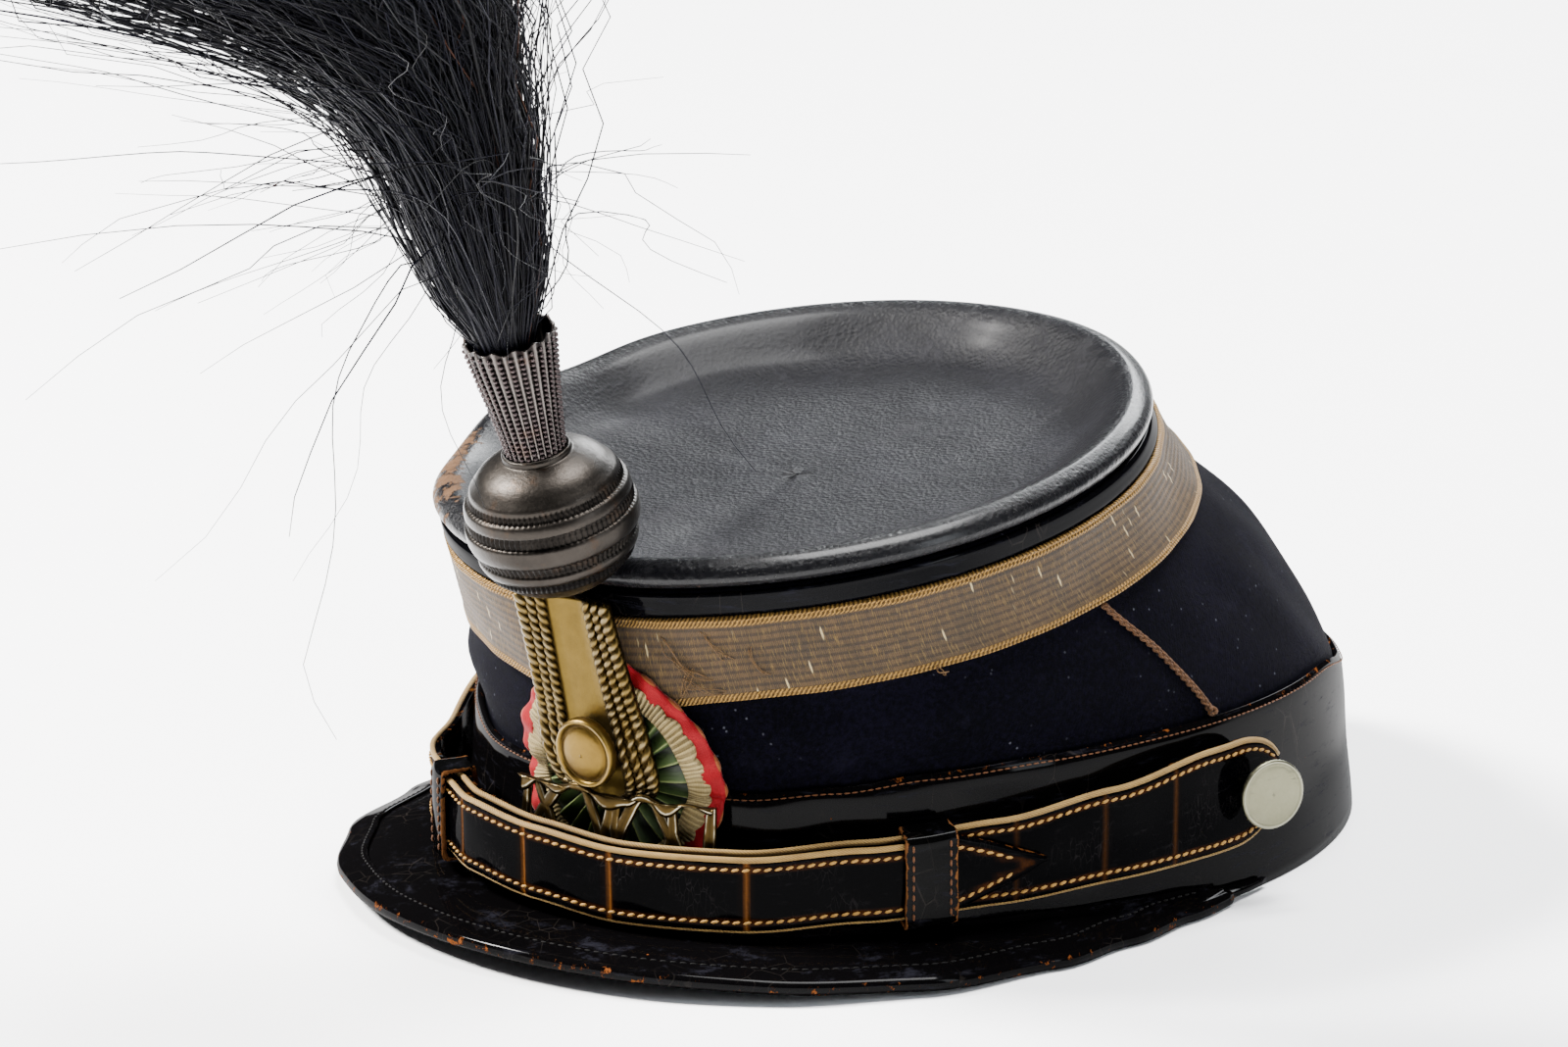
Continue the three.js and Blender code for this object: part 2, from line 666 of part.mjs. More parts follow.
function gallery() {
  const half = GALLERY_WIDTH / 2;
  const out = COCKADE_CLOTH + PLATE_BRASS + PLATE_RELIEF + 5 * CLEARANCE;
  const foot = COCKADE_HEIGHT - GALLERY_HEIGHT - CLEARANCE;
  const middle = (rad(COCKADE_TURN) * HEAD_WIDTH) / 2;
  const shift = middle + 0.06 * GALLERY_WIDTH;
  const bar = (path, width = GALLERY_BAR) => {
    const edge = (side) =>
      path.map(([along, height], i) => {
        const before = path[Math.max(0, i - 1)];
        const after = path[Math.min(path.length - 1, i + 1)];
        const run = new THREE.Vector2(
          (after[0] - before[0]) * half,
          (after[1] - before[1]) * GALLERY_HEIGHT,
        ).normalize();
        const aside = (side * width) / 2;
        return [along * half - run.y * aside, height * GALLERY_HEIGHT + run.x * aside];
      });
    return new wasm.CrossSection([[...edge(1).reverse(), ...edge(-1)]], "NonZero");
  };
  const rail = range(20, -1, 1).map((along) => [along, column(GALLERY_RAIL, "height", along, "along")]);
  const lower = range(8, -1, 1).map((along) => [along, 0.07]);
  const scroll = (from, to, side) =>
    range(5, 0, 1).map((share) => {
      const along = lerp(from, to, share) + side * 0.09 * Math.sin(Math.PI * 2 * share);
      return [along, lerp(0.07, column(GALLERY_RAIL, "height", to, "along") - 0.03, share)];
    });
  const parts = [
    bar(rail, GALLERY_BAR * 1.2),
    bar(lower),
    ...[-0.97, 0.97].map((end) => bar([[end, 0.07], [end, 0.74]])),
    ...[-0.8, -0.32, 0.36, 0.76].flatMap((peak) => [
      bar(scroll(peak - 0.14, peak, -1)),
      bar(scroll(peak + 0.16, peak, 1)),
    ]),
    ...[-0.56, 0.04, 0.58].map((dip) =>
      bar([[dip - 0.08, 0.07], [dip + 0.02, column(GALLERY_RAIL, "height", dip, "along") - 0.03]]),
    ),
  ];
  const sheet = wasm.CrossSection.union(parts).extrude(GALLERY_BRASS);
  const laid = sheet.warp((point) => {
    const placed = trimPoint(shift + point[0], foot + point[1], out + point[2]);
    point[0] = placed.x;
    point[1] = placed.y;
    point[2] = placed.z;
  });
  return geometryOf(laid.subtract(solid(bossRoom())));
}

// Plume socket: the ball's middle and the line that it and the sleeve lean along
function ballMiddle() {
  const crest = tiltedRing(TRIM_ANGLE, {
    height: CROWN_HEIGHT,
    forward: TOP_FORWARD,
    length: TOP_LENGTH / 2,
    width: TOP_WIDTH / 2,
    tilt: TOP_TILT,
  });
  return crest.add(new THREE.Vector3(BALL_ASIDE, -BALL_FORWARD, BALL_RISE));
}
const PLUME_LINE = new THREE.Vector3(0, -Math.sin(rad(PLUME_LEAN)), Math.cos(rad(PLUME_LEAN)));

// Ball: rings of its profile, with the beaded rings as small steps. Radius and height are shares of
// half the ball's diameter and half its height.
const BALL_RINGS = [
  { radius: 0.2, height: -1 },
  { radius: 0.5, height: -0.9 },
  { radius: 0.8, height: -0.62 },
  { radius: 0.95, height: -0.34 },
  { radius: 0.93, height: -0.27 },
  { radius: 1, height: -0.16 },
  { radius: 1, height: -0.02 },
  { radius: 0.95, height: 0.04 },
  { radius: 0.97, height: 0.16 },
  { radius: 0.9, height: 0.24 },
  { radius: 0.92, height: 0.34 },
  { radius: 0.82, height: 0.42 },
  { radius: 0.83, height: 0.5 },
  { radius: 0.71, height: 0.63 },
  { radius: 0.5, height: 0.77 },
  { radius: 0.38, height: 0.81 },
  { radius: 0.37, height: 0.84 },
];
const BALL_TOP = (BALL_RINGS.at(-1).height * BALL_HEIGHT) / 2; // above the ball's middle

function ballProfile(grow = 0) {
  return BALL_RINGS.map(({ radius, height }) => [
    radius * (BALL_DIAMETER / 2 + grow),
    height * (BALL_HEIGHT / 2 + grow),
  ]);
}

function plumeBall() {
  const profile = ballProfile();
  const foot = -BALL_HEIGHT / 2;
  const body = lathe([[0, foot], ...profile, [0, BALL_TOP]], 21);
  aimed(body, ballMiddle(), PLUME_LINE);
  return joined([body, plumeSpike()]);
}

// The spike under the ball goes down between the plate and the galloon.
function plumeSpike() {
  const start = ballMiddle().addScaledVector(PLUME_LINE, -BALL_HEIGHT * 0.42);
  const out = COCKADE_CLOTH + 2 * CLEARANCE - SPIKE_THICKNESS;
  const top = plateTop() + CLEARANCE;
  const rows = range(5, 0, 1).map((share) => {
    const height = top - share * SPIKE_LENGTH;
    const half = (SPIKE_WIDTH / 2) * lerp(1, 0.5, share);
    const at = (across, lift) => trimPoint(across, height, out + lift);
    return [at(-half, 0), at(-half, SPIKE_THICKNESS), at(half, SPIKE_THICKNESS), at(half, 0)];
  });
  const half = SPIKE_WIDTH / 2;
  const root = [
    new THREE.Vector3(-half, half * 0.6, 0),
    new THREE.Vector3(-half, -half * 0.6, 0),
    new THREE.Vector3(half, -half * 0.6, 0),
    new THREE.Vector3(half, half * 0.6, 0),
  ].map((corner) => corner.add(start));
  return loft([root, ...rows]);
}

function plumeSleeve() {
  const count = SLEEVE_FLUTES * 2;
  const base = BALL_TOP + CLEARANCE;
  const inner = SLEEVE_METAL;
  const sections = range(count - 1, 0, (2 * Math.PI * (count - 1)) / count).map((turn, i) => {
    const at = (share, inset) => {
      const flute = (i % 2 ? 0.5 : 0) * share;
      const radius = lerp(SLEEVE_FOOT, SLEEVE_MOUTH, share ** 1.15) / 2 + flute - inset;
      const scallop = share === 1 ? (i % 2 ? 0.5 : -0.6) : 0;
      const point = new THREE.Vector3(radius * Math.cos(turn), radius * Math.sin(turn), 0);
      point.z = base + share * SLEEVE_LENGTH + scallop;
      return point;
    };
    return [at(0, 0), at(0.45, 0), at(1, 0), at(1, inner), at(0.45, inner), at(0, inner)];
  });
  return aimed(loft(sections, true), ballMiddle(), PLUME_LINE);
}

// Locks of the plume: how far each leans over, which way it sets out, and its length as a share.
const PLUME_LOCKS = [
  { lean: -5, way: 0, length: 0.74, thick: 1 },
  { lean: 5, way: 30, length: 0.86, thick: 1 },
  { lean: 6, way: -40, length: 0.8, thick: 0.95 },
  { lean: 14, way: -8, length: 0.92, thick: 1.05 },
  { lean: 23, way: 12, length: 1, thick: 1.1 },
  { lean: 31, way: -8, length: 1, thick: 1.1 },
  { lean: 38, way: 6, length: 0.94, thick: 1 },
  { lean: 24, way: -38, length: 0.88, thick: 0.9 },
  { lean: 22, way: 44, length: 0.86, thick: 0.9 },
];
const PLUME_WAY = -22; // the plume falls forward and a little to the wearer's right

function plumeStart() {
  return ballMiddle().addScaledVector(PLUME_LINE, BALL_TOP + CLEARANCE + SLEEVE_LENGTH);
}

function plumeLock({ lean, way, length, thick }) {
  const aim = rad(PLUME_WAY + way);
  const level = new THREE.Vector3(Math.sin(aim), -Math.cos(aim), 0);
  const reach = PLUME_LENGTH * length;
  const root = plumeStart().addScaledVector(PLUME_LINE, -SLEEVE_LENGTH * 0.5);
  const mouth = plumeStart();
  const bend = mouth
    .clone()
    .addScaledVector(UP, reach * 0.36 * Math.cos(rad(lean * 0.6)))
    .addScaledVector(level, reach * 0.36 * Math.sin(rad(lean * 0.6)));
  const tip = bend
    .clone()
    .addScaledVector(UP, reach * 0.64 * Math.cos(rad(lean * 1.25)))
    .addScaledVector(level, reach * 0.64 * Math.sin(rad(lean * 1.25)));
  const curve = new THREE.CatmullRomCurve3([root, mouth, bend, tip], false, "centripetal");
  const across = new THREE.Vector3().crossVectors(UP, level).normalize();
  const widths = [
    { along: 0, width: 0.5 },
    { along: 0.12, width: 0.62 },
    { along: 0.4, width: 1 },
    { along: 0.72, width: 0.92 },
    { along: 0.9, width: 0.5 },
    { along: 1, width: 0.08 },
  ];
  return loft(
    widths.map(({ along, width }) => {
      const point = curve.getPointAt(along);
      const ahead = curve.getTangentAt(along);
      const side = across.clone();
      const over = new THREE.Vector3().crossVectors(side, ahead).normalize();
      const radius = (PLUME_NECK / 2) * width * thick;
      return range(4, 0, (2 * Math.PI * 4) / 5).map((turn) =>
        point
          .clone()
          .addScaledVector(side, radius * Math.cos(turn))
          .addScaledVector(over, radius * Math.sin(turn)),
      );
    }),
  );
}

function plume() {
  const room = SLEEVE_FOOT / 2 - SLEEVE_METAL - CLEARANCE;
  const head = lathe(
    [
      [0, BALL_TOP + 2 * CLEARANCE],
      [room, BALL_TOP + 2 * CLEARANCE],
      [SLEEVE_MOUTH / 2 - SLEEVE_METAL - 4 * CLEARANCE, BALL_TOP + SLEEVE_LENGTH],
      [PLUME_NECK * 0.6, BALL_TOP + SLEEVE_LENGTH + PLUME_NECK * 0.5],
      [0, BALL_TOP + SLEEVE_LENGTH + PLUME_NECK],
    ],
    14,
  );
  aimed(head, ballMiddle(), PLUME_LINE);
  const keep = lathe(sleeveRoom(), 20);
  aimed(keep, ballMiddle(), PLUME_LINE);
  const locks = PLUME_LOCKS.map((row) => solid(plumeLock(row)));
  return geometryOf(locks.reduce((whole, lock) => whole.add(lock), solid(head)).intersect(solid(keep)));
}

// The room that hair may fill: inside the sleeve, and free above its mouth.
function sleeveRoom() {
  const base = BALL_TOP + 2 * CLEARANCE;
  const mouth = BALL_TOP + SLEEVE_LENGTH + 3 * CLEARANCE;
  const inset = SLEEVE_METAL + 2 * CLEARANCE;
  return [
    [0, base],
    [SLEEVE_FOOT / 2 - inset, base],
    [SLEEVE_MOUTH / 2 - inset, mouth],
    [PLUME_LENGTH * 1.5, mouth + PLUME_LENGTH * 0.02],
    [PLUME_LENGTH * 1.5, mouth + PLUME_LENGTH * 2],
    [0, mouth + PLUME_LENGTH * 2],
  ];
}

// Chin strap: the height of its middle at an angle, as a share of its height at the buttons, how far
// it stands off the band, as a share of the stand-off, and its width between strap and tab.
const STRAP_ROWS = [
  { angle: -97, height: 1, off: 0, tab: 1 },
  { angle: -84, height: 0.97, off: 0, tab: 0.9 },
  { angle: -68, height: 0.8, off: 0, tab: 0.3 },
  { angle: -50, height: 0.67, off: 0, tab: 0.05 },
  { angle: -38, height: 0.72, off: 0.02, tab: 0 },
  { angle: -29, height: 0.8, off: 0.15, tab: 0 },
  { angle: -20, height: 0.84, off: 0.68, tab: 0 },
  { angle: -12, height: 0.82, off: 1, tab: 0 },
  { angle: 0, height: 0.77, off: 1, tab: 0 },
  { angle: 12, height: 0.71, off: 1, tab: 0 },
  { angle: 26, height: 0.71, off: 0.9, tab: 0 },
  { angle: 40, height: 0.76, off: 0.4, tab: 0.05 },
  { angle: 56, height: 0.82, off: 0.12, tab: 0.2 },
  { angle: 70, height: 0.9, off: 0.03, tab: 0.5 },
  { angle: 84, height: 0.97, off: 0, tab: 1 },
  { angle: 97, height: 1, off: 0, tab: 1 },
];

// A point of the strap: across its width from the middle, and out from the under strap's inner face.
function strapPoint(angle, across, out) {
  const seat = KEEPER_LEATHER + 2 * CLEARANCE + STRAP_STAND_OFF * column(STRAP_ROWS, "off", angle);
  const height = STRAP_HEIGHT * column(STRAP_ROWS, "height", angle) + across;
  return bandPoint(angle, 0).addScaledVector(bandNormal(angle), seat + out).setZ(height);
}

function tabShare(angle) {
  return column(STRAP_ROWS, "tab", angle);
}

// A strap from its pointed tip to its round tab, on the side of the tab.
function strap(side, seat, width) {
  const tip = side > 0 ? -TIP_ANGLE_RIGHT : TIP_ANGLE_LEFT;
  const end = side * TAB_ANGLE;
  const point = 10; // degrees that the pointed tip and the round end take
  return loft(
    range(34, 0, 1).map((share) => {
      const eased = 0.5 - 0.5 * Math.cos(Math.PI * share);
      const angle = lerp(tip, end, lerp(share, eased, 0.35));
      const full = lerp(width, STRAP_TAB, side * angle > 0 ? tabShare(angle) : 0);
      const fromTip = clamp(Math.abs(angle - tip) / point, 0.06, 1);
      const fromEnd = clamp(Math.abs(end - angle) / (point * 0.8), 0.02, 1);
      const half = (full / 2) * fromTip ** 0.8 * Math.sqrt(1 - (1 - fromEnd) ** 2);
      const inner = seat * (1 - smoothstep(side * angle, TIP_ANGLE_RIGHT + 2, TIP_ANGLE_RIGHT + SEAT_RETURN));
      const outer = inner + STRAP_LEATHER;
      const crown = (inner + outer) / 2;
      return [
        strapPoint(angle, -half, inner),
        strapPoint(angle, -half, crown),
        strapPoint(angle, -half * 0.86, outer),
        strapPoint(angle, half * 0.86, outer),
        strapPoint(angle, half, crown),
        strapPoint(angle, half, inner),
      ];
    }),
  );
}

// A leather loop round both straps.
function keeper(angle) {
  const span = THREE.MathUtils.radToDeg(KEEPER_WIDTH / (HEAD_LENGTH / 2));
  const room = CLEARANCE;
  const half = STRAP_WIDTH / 2 + 1 + room;
  const back = -room;
  const front = 2 * (STRAP_LEATHER + CLEARANCE) + room;
  const wall = KEEPER_LEATHER;
  const corners = (grow, turn) => [
    strapPoint(turn, -half - grow, back),
    strapPoint(turn, -half - grow, front),
    strapPoint(turn, -half * 0.8, front + grow),
    strapPoint(turn, half * 0.8, front + grow),
    strapPoint(turn, half + grow, front),
    strapPoint(turn, half + grow, back),
    strapPoint(turn, half * 0.8, back - grow),
    strapPoint(turn, -half * 0.8, back - grow),
  ];
  const ends = range(3, angle - span / 2, angle + span / 2);
  const outer = ends.map((turn) => corners(wall, turn));
  const inner = ends.map((turn) => corners(0, turn)).reverse();
  return loft([...outer, ...inner], true);
}

function sideButton(side) {
  const radius = BUTTON_DIAMETER / 2;
  const angle = side * BUTTON_ANGLE;
  const metal = BUTTON_METAL;
  const base = strapPoint(angle, 0, STRAP_LEATHER + 4 * CLEARANCE);
  const shank = BUTTON_SHANK;
  const profile = [
    [0, 0],
    [radius * 0.3, 0],
    [radius * 0.24, shank - metal],
    [radius * 0.9, shank - metal * 0.8],
    [radius, shank - metal * 0.4],
    [radius * 0.95, shank - metal * 0.1],
    [radius * 0.6, shank],
    [0, shank],
  ];
  const facing = bandNormal(angle).applyAxisAngle(UP, rad(-side * BUTTON_TURN));
  return aimed(lathe(profile, 20), base, facing);
}

// Materials
function finish(color, roughness, metalness = 0) {
  return new THREE.MeshStandardMaterial({ color, roughness, metalness });
}
const cloth = finish(0x171a2a, 0.95);
const patent = finish(0x141416, 0.25);
const dishLeather = finish(0x2c2d33, 0.5);
const lace = finish(0x7d6c50, 0.6, 0.5);
const cordWool = finish(0x6d4c3a, 0.8);
const red = finish(0xb32a35, 0.8);
const cream = finish(0xd6c79a, 0.8);
const green = finish(0x34482b, 0.6);
const brass = finish(0x8f7c3a, 0.4, 0.9);
const silver = finish(0x57534e, 0.35, 0.9);
const pewter = finish(0xb9b79a, 0.45, 0.8);
const hair = finish(0x0d0d12, 0.6);

const hat = new THREE.Group();
function place(name, geometry, material) {
  const mesh = new THREE.Mesh(geometry, material);
  mesh.name = name;
  hat.add(mesh);
  return mesh;
}

function topWithSeat() {
  const seat = lathe([[0, -BALL_HEIGHT / 2 - 1.2], ...ballProfile(2 * CLEARANCE), [0, BALL_HEIGHT]], 21);
  aimed(seat, ballMiddle(), PLUME_LINE);
  return geometryOf(solid(crownTop()).subtract(solid(seat)));
}

place("crown", crownWall(), cloth);
place("head_band", headBand(), patent);
place("peak", peakSheet(), patent);
place("peak_binding", peakBinding(), patent);
place("crown_top", topWithSeat(), dishLeather);
place(
  "top_collar",
  wallStrip(CLEARANCE, [
    { down: 0, out: COLLAR_LEATHER },
    { down: COLLAR_WIDTH, out: COLLAR_LEATHER },
  ]),
  patent,
);
const laceEdge = GALLOON_WIDTH * 0.1;
place(
  "galloon",
  wallStrip(2 * CLEARANCE, [
    { down: LACE_TOP, out: GALLOON_THICKNESS + GALLOON_EDGE },
    { down: LACE_TOP + laceEdge, out: GALLOON_THICKNESS + GALLOON_EDGE },
    { down: LACE_TOP + laceEdge * 1.4, out: GALLOON_THICKNESS },
    { down: LACE_TOP + GALLOON_WIDTH - laceEdge * 1.4, out: GALLOON_THICKNESS },
    { down: LACE_TOP + GALLOON_WIDTH - laceEdge, out: GALLOON_THICKNESS + GALLOON_EDGE },
    { down: LACE_TOP + GALLOON_WIDTH, out: GALLOON_THICKNESS + GALLOON_EDGE },
  ]),
  lace,
);
place("seam_cord_left", seamCord(1), cordWool);
place("seam_cord_right", seamCord(-1), cordWool);

const ringRadius = COCKADE_DIAMETER / 2;
const laceRadius = ringRadius - RING_WIDTH;
const heartRadius = laceRadius - LACE_WIDTH;
const pleat = 0.45;
place("cockade_ring", cockadeRing(laceRadius + CLEARANCE, ringRadius, 0, COCKADE_CLOTH * 0.6, pleat), red);
place(
  "cockade_lace",
  cockadeRing(heartRadius + CLEARANCE, laceRadius, 0, COCKADE_CLOTH * 0.7, pleat),
  cream,
);
place("cockade_heart", cockadeHeart(heartRadius, 0, COCKADE_CLOTH * 0.6, pleat), green);
place("loop_plate", loopPlate(), brass);
place("loop_button", loopButton(), brass);
place("gallery", gallery(), brass);
place("plume_ball", plumeBall(), silver);
place("plume_sleeve", plumeSleeve(), silver);
place("plume", plume(), hair);
place("strap_under", strap(1, 0, STRAP_WIDTH + 1.2), patent);
place("strap_over", strap(-1, STRAP_LEATHER + 2 * CLEARANCE, STRAP_WIDTH), patent);
place("keeper_left", keeper(KEEPER_ANGLE_LEFT), patent);
place("keeper_right", keeper(KEEPER_ANGLE_RIGHT), patent);
place("button_left", sideButton(1), pewter);
place("button_right", sideButton(-1), pewter);

// The part's origin is the middle of its box, on the surface that it stands on.
const box = new THREE.Box3().setFromObject(hat);
const centre = box.getCenter(new THREE.Vector3());
hat.position.set(-centre.x, -centre.y, -box.min.z);

const kepi = new THREE.Group();
kepi.add(hat);

export default kepi;
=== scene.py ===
import bpy
import math
import numpy as np
from mathutils import Matrix, Vector


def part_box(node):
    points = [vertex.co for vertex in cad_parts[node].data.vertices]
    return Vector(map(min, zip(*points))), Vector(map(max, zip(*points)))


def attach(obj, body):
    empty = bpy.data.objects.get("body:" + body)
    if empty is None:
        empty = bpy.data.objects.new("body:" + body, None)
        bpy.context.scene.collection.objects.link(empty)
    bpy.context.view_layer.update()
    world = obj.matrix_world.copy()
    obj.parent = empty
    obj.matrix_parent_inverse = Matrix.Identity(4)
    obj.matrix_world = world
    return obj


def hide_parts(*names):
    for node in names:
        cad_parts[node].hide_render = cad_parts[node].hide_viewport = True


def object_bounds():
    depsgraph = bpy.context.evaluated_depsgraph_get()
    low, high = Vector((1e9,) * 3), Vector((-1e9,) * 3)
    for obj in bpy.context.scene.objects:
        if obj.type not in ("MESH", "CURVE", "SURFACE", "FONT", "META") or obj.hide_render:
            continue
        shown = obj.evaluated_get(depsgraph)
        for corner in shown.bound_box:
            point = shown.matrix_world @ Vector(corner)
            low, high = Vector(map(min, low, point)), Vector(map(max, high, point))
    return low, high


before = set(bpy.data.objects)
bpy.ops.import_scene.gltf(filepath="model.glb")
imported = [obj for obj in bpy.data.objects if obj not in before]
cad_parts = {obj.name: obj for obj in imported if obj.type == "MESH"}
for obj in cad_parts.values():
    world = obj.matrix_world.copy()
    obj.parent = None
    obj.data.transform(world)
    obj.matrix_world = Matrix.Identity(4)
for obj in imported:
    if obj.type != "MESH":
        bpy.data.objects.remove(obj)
first_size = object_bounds()

# Floor, light and camera: the hat stands on a plain pale floor in soft daylight, seen from the front
# and the wearer's left, a little from above. The hat is laid out round the middle of its head band,
# in millimetres, +Z up, front towards -Y; angles run from 0 in front to 90 at the left ear.
band_low, band_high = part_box("head_band")
HEAD = np.array([(band_low[0] + band_high[0]) / 2, (band_low[1] + band_high[1]) / 2, 0.0])


def placed(points):
    """Millimetres round the middle of the head band, as metres in the frame."""
    return np.asarray(points, dtype=float) * 0.001 + HEAD


class Value:
    """A socket of a shader, with sums and products as Python expressions."""

    def __init__(self, tree, socket):
        self.tree = tree
        self.socket = socket

    def node(self, kind, settings=None, output=0, **inputs):
        """Adds any other node: its settings first, then its inputs by name, with _ for a space."""
        made = self.tree.nodes.new(kind)
        for key, value in (settings or {}).items():
            setattr(made, key, value)
        for key, value in inputs.items():
            name = key.replace("_", " ")
            slot = made.inputs[int(key[1:])] if key[1:].isdigit() else made.inputs[name]
            if isinstance(value, Value):
                self.tree.links.new(value.socket, slot)
            elif value is not None:
                slot.default_value = value
        return Value(self.tree, made.outputs[output])

    def math(self, operation, *others):
        """A Math node on this value and the others."""
        inputs = {"i0": self}
        for index, other in enumerate(others):
            inputs[f"i{index + 1}"] = other
        return self.node("ShaderNodeMath", {"operation": operation}, **inputs)

    def __add__(self, other):
        return self.math("ADD", other)

    __radd__ = __add__

    def __mul__(self, other):
        return self.math("MULTIPLY", other)

    __rmul__ = __mul__

    def __sub__(self, other):
        return self.math("SUBTRACT", other)

    def __rsub__(self, other):
        return self.node("ShaderNodeMath", {"operation": "SUBTRACT"}, i0=other, i1=self)

    def step(self, low, high):
        """0 below low, 1 above high, eased between them. Turned round where high is the lower."""
        return self.node("ShaderNodeMapRange", {"interpolation_type": "SMOOTHSTEP"},
                         Value=self, From_Min=low, From_Max=high)

    def wave(self, period):
        """A wave between 0 and 1 with its crests a period apart."""
        return (self * (2 * math.pi / period)).math("COSINE") * 0.5 + 0.5

    def mix(self, low, high):
        """A colour between two colours."""
        return self.node("ShaderNodeMix", {"data_type": "RGBA"}, 2, i0=self, i6=low, i7=high)

    def noise(self, scale, detail=4.0, rough=0.55, stretch=(1, 1, 1)):
        """Noise read at this place, its grains one part in scale of a unit across."""
        spread = self.node("ShaderNodeVectorMath", {"operation": "MULTIPLY"}, i0=self, i1=stretch)
        return self.node("ShaderNodeTexNoise", Vector=spread, Scale=scale, Detail=detail, Roughness=rough)

    def cells(self, scale, stretch=(1, 1, 1), feature="F1"):
        """How far this place is from the nearest of many scattered points, or from their cells' edges."""
        spread = self.node("ShaderNodeVectorMath", {"operation": "MULTIPLY"}, i0=self, i1=stretch)
        return self.node("ShaderNodeTexVoronoi", {"feature": feature}, Vector=spread, Scale=scale)

    def parts(self):
        """The three shares of a place: along, across and up."""
        split = self.node("ShaderNodeSeparateXYZ", i0=self)
        node = split.socket.node
        return [Value(self.tree, node.outputs[i]) for i in range(3)]


PAINTED_DIMMING = 0.38  # share of each colour that is kept: a painted shade over the whole hat, set against the strength of the lights


def colour(red, green, blue, dimming=PAINTED_DIMMING):
    """A swatch's colour as it looks on a screen, from 0 to 255, darkened by a painted shade over the whole
    hat.
    """
    shares = [c / 255 for c in (red, green, blue)]
    linear = [((c + 0.055) / 1.055) ** 2.4 if c > 0.04 else c / 12.92 for c in shares]
    return (*[c * dimming for c in linear], 1.0)


class Surface:
    """A new material: mm is the place in millimetres, uv the place along and across the piece."""

    def __init__(self, name, **constants):
        self.material = bpy.data.materials.new(name)
        self.material.use_nodes = True
        self.tree = self.material.node_tree
        self.shader = self.tree.nodes["Principled BSDF"]
        for key, value in constants.items():
            self.shader.inputs[key.replace("_", " ")].default_value = value
        self.blank = Value(self.tree, None)
        place = self.blank.node("ShaderNodeTexCoord", None, 3)
        self.mm = place.node("ShaderNodeVectorMath", {"operation": "SCALE"}, i0=place, Scale=1000.0)
        self.uv = self.blank.node("ShaderNodeUVMap", {"uv_map": "UVMap"})

    def attribute(self, name):
        """A value that the mesh carries at its points."""
        return self.blank.node("ShaderNodeAttribute", {"attribute_name": name}, 2)

    def feed(self, **values):
        """Links what varies: Base_Color, Roughness, Metallic, Coat_Weight, Normal."""
        for key, value in values.items():
            self.tree.links.new(value.socket, self.shader.inputs[key.replace("_", " ")])
        return self.material

    def bump(self, *heights):
        """Heights in millimetres, each laid over the one before."""
        normal = None
        for height, strength in heights:
            normal = height.node("ShaderNodeBump", Height=height, Distance=0.001, Strength=strength,
                                 Normal=normal)
        return normal


def floor_material():
    surface = Surface("floor_paper", Roughness=0.9)
    fine = surface.mm.noise(0.02, 5)
    return surface.feed(Base_Color=fine.mix(colour(248, 248, 250, 1.0), colour(253, 253, 254, 1.0)),
                        Normal=surface.bump((surface.mm.noise(0.6, 3) * 0.05, 0.4)))


FLOOR_REACH = 9.0
floor_mesh = bpy.data.meshes.new("floor")
floor_corners = [(-FLOOR_REACH, -FLOOR_REACH, 0), (FLOOR_REACH, -FLOOR_REACH, 0),
                 (FLOOR_REACH, FLOOR_REACH, 0), (-FLOOR_REACH, FLOOR_REACH, 0)]
floor_mesh.from_pydata(floor_corners, [], [(0, 1, 2, 3)])
floor = bpy.data.objects.new("floor", floor_mesh)
bpy.context.scene.collection.objects.link(floor)
floor.data.materials.append(floor_material())

world = bpy.data.worlds.new("studio")
bpy.context.scene.world = world
world.use_nodes = True
world.node_tree.nodes["Background"].inputs["Color"].default_value = (0.93, 0.96, 1.0, 1.0)
world.node_tree.nodes["Background"].inputs["Strength"].default_value = 0.12

LIGHTS = [
    # name, place in metres from the hat, width and height in metres, power in watts, colour
    ("key_window", (-1.4, -0.9, 1.7), 0.5, 0.5, 330, (1.0, 0.98, 0.95)),
    ("right_window", (1.6, 0.0, 0.7), 0.3, 1.1, 14, (0.9, 0.95, 1.0)),
    ("back_window", (-0.7, 1.8, 1.2), 1.1, 0.5, 55, (0.95, 0.98, 1.0)),
    ("top_sheet", (0.2, 0.3, 2.6), 1.2, 1.2, 220, (1.0, 1.0, 1.0)),
]
LIT_PLACE = (0, 0, 0.08)
for light_name, place, wide, high, power, tint in LIGHTS:
    lamp = bpy.data.lights.new(light_name, "AREA")
    lamp.shape = "RECTANGLE"
    lamp.size = wide
    lamp.size_y = high
    lamp.energy = power
    lamp.color = tint
    lamp_object = bpy.data.objects.new(light_name, lamp)
    bpy.context.scene.collection.objects.link(lamp_object)
    lamp_object.location = place
    aim = Vector(LIT_PLACE) - Vector(place)
    lamp_object.rotation_euler = aim.to_track_quat("-Z", "Y").to_euler()

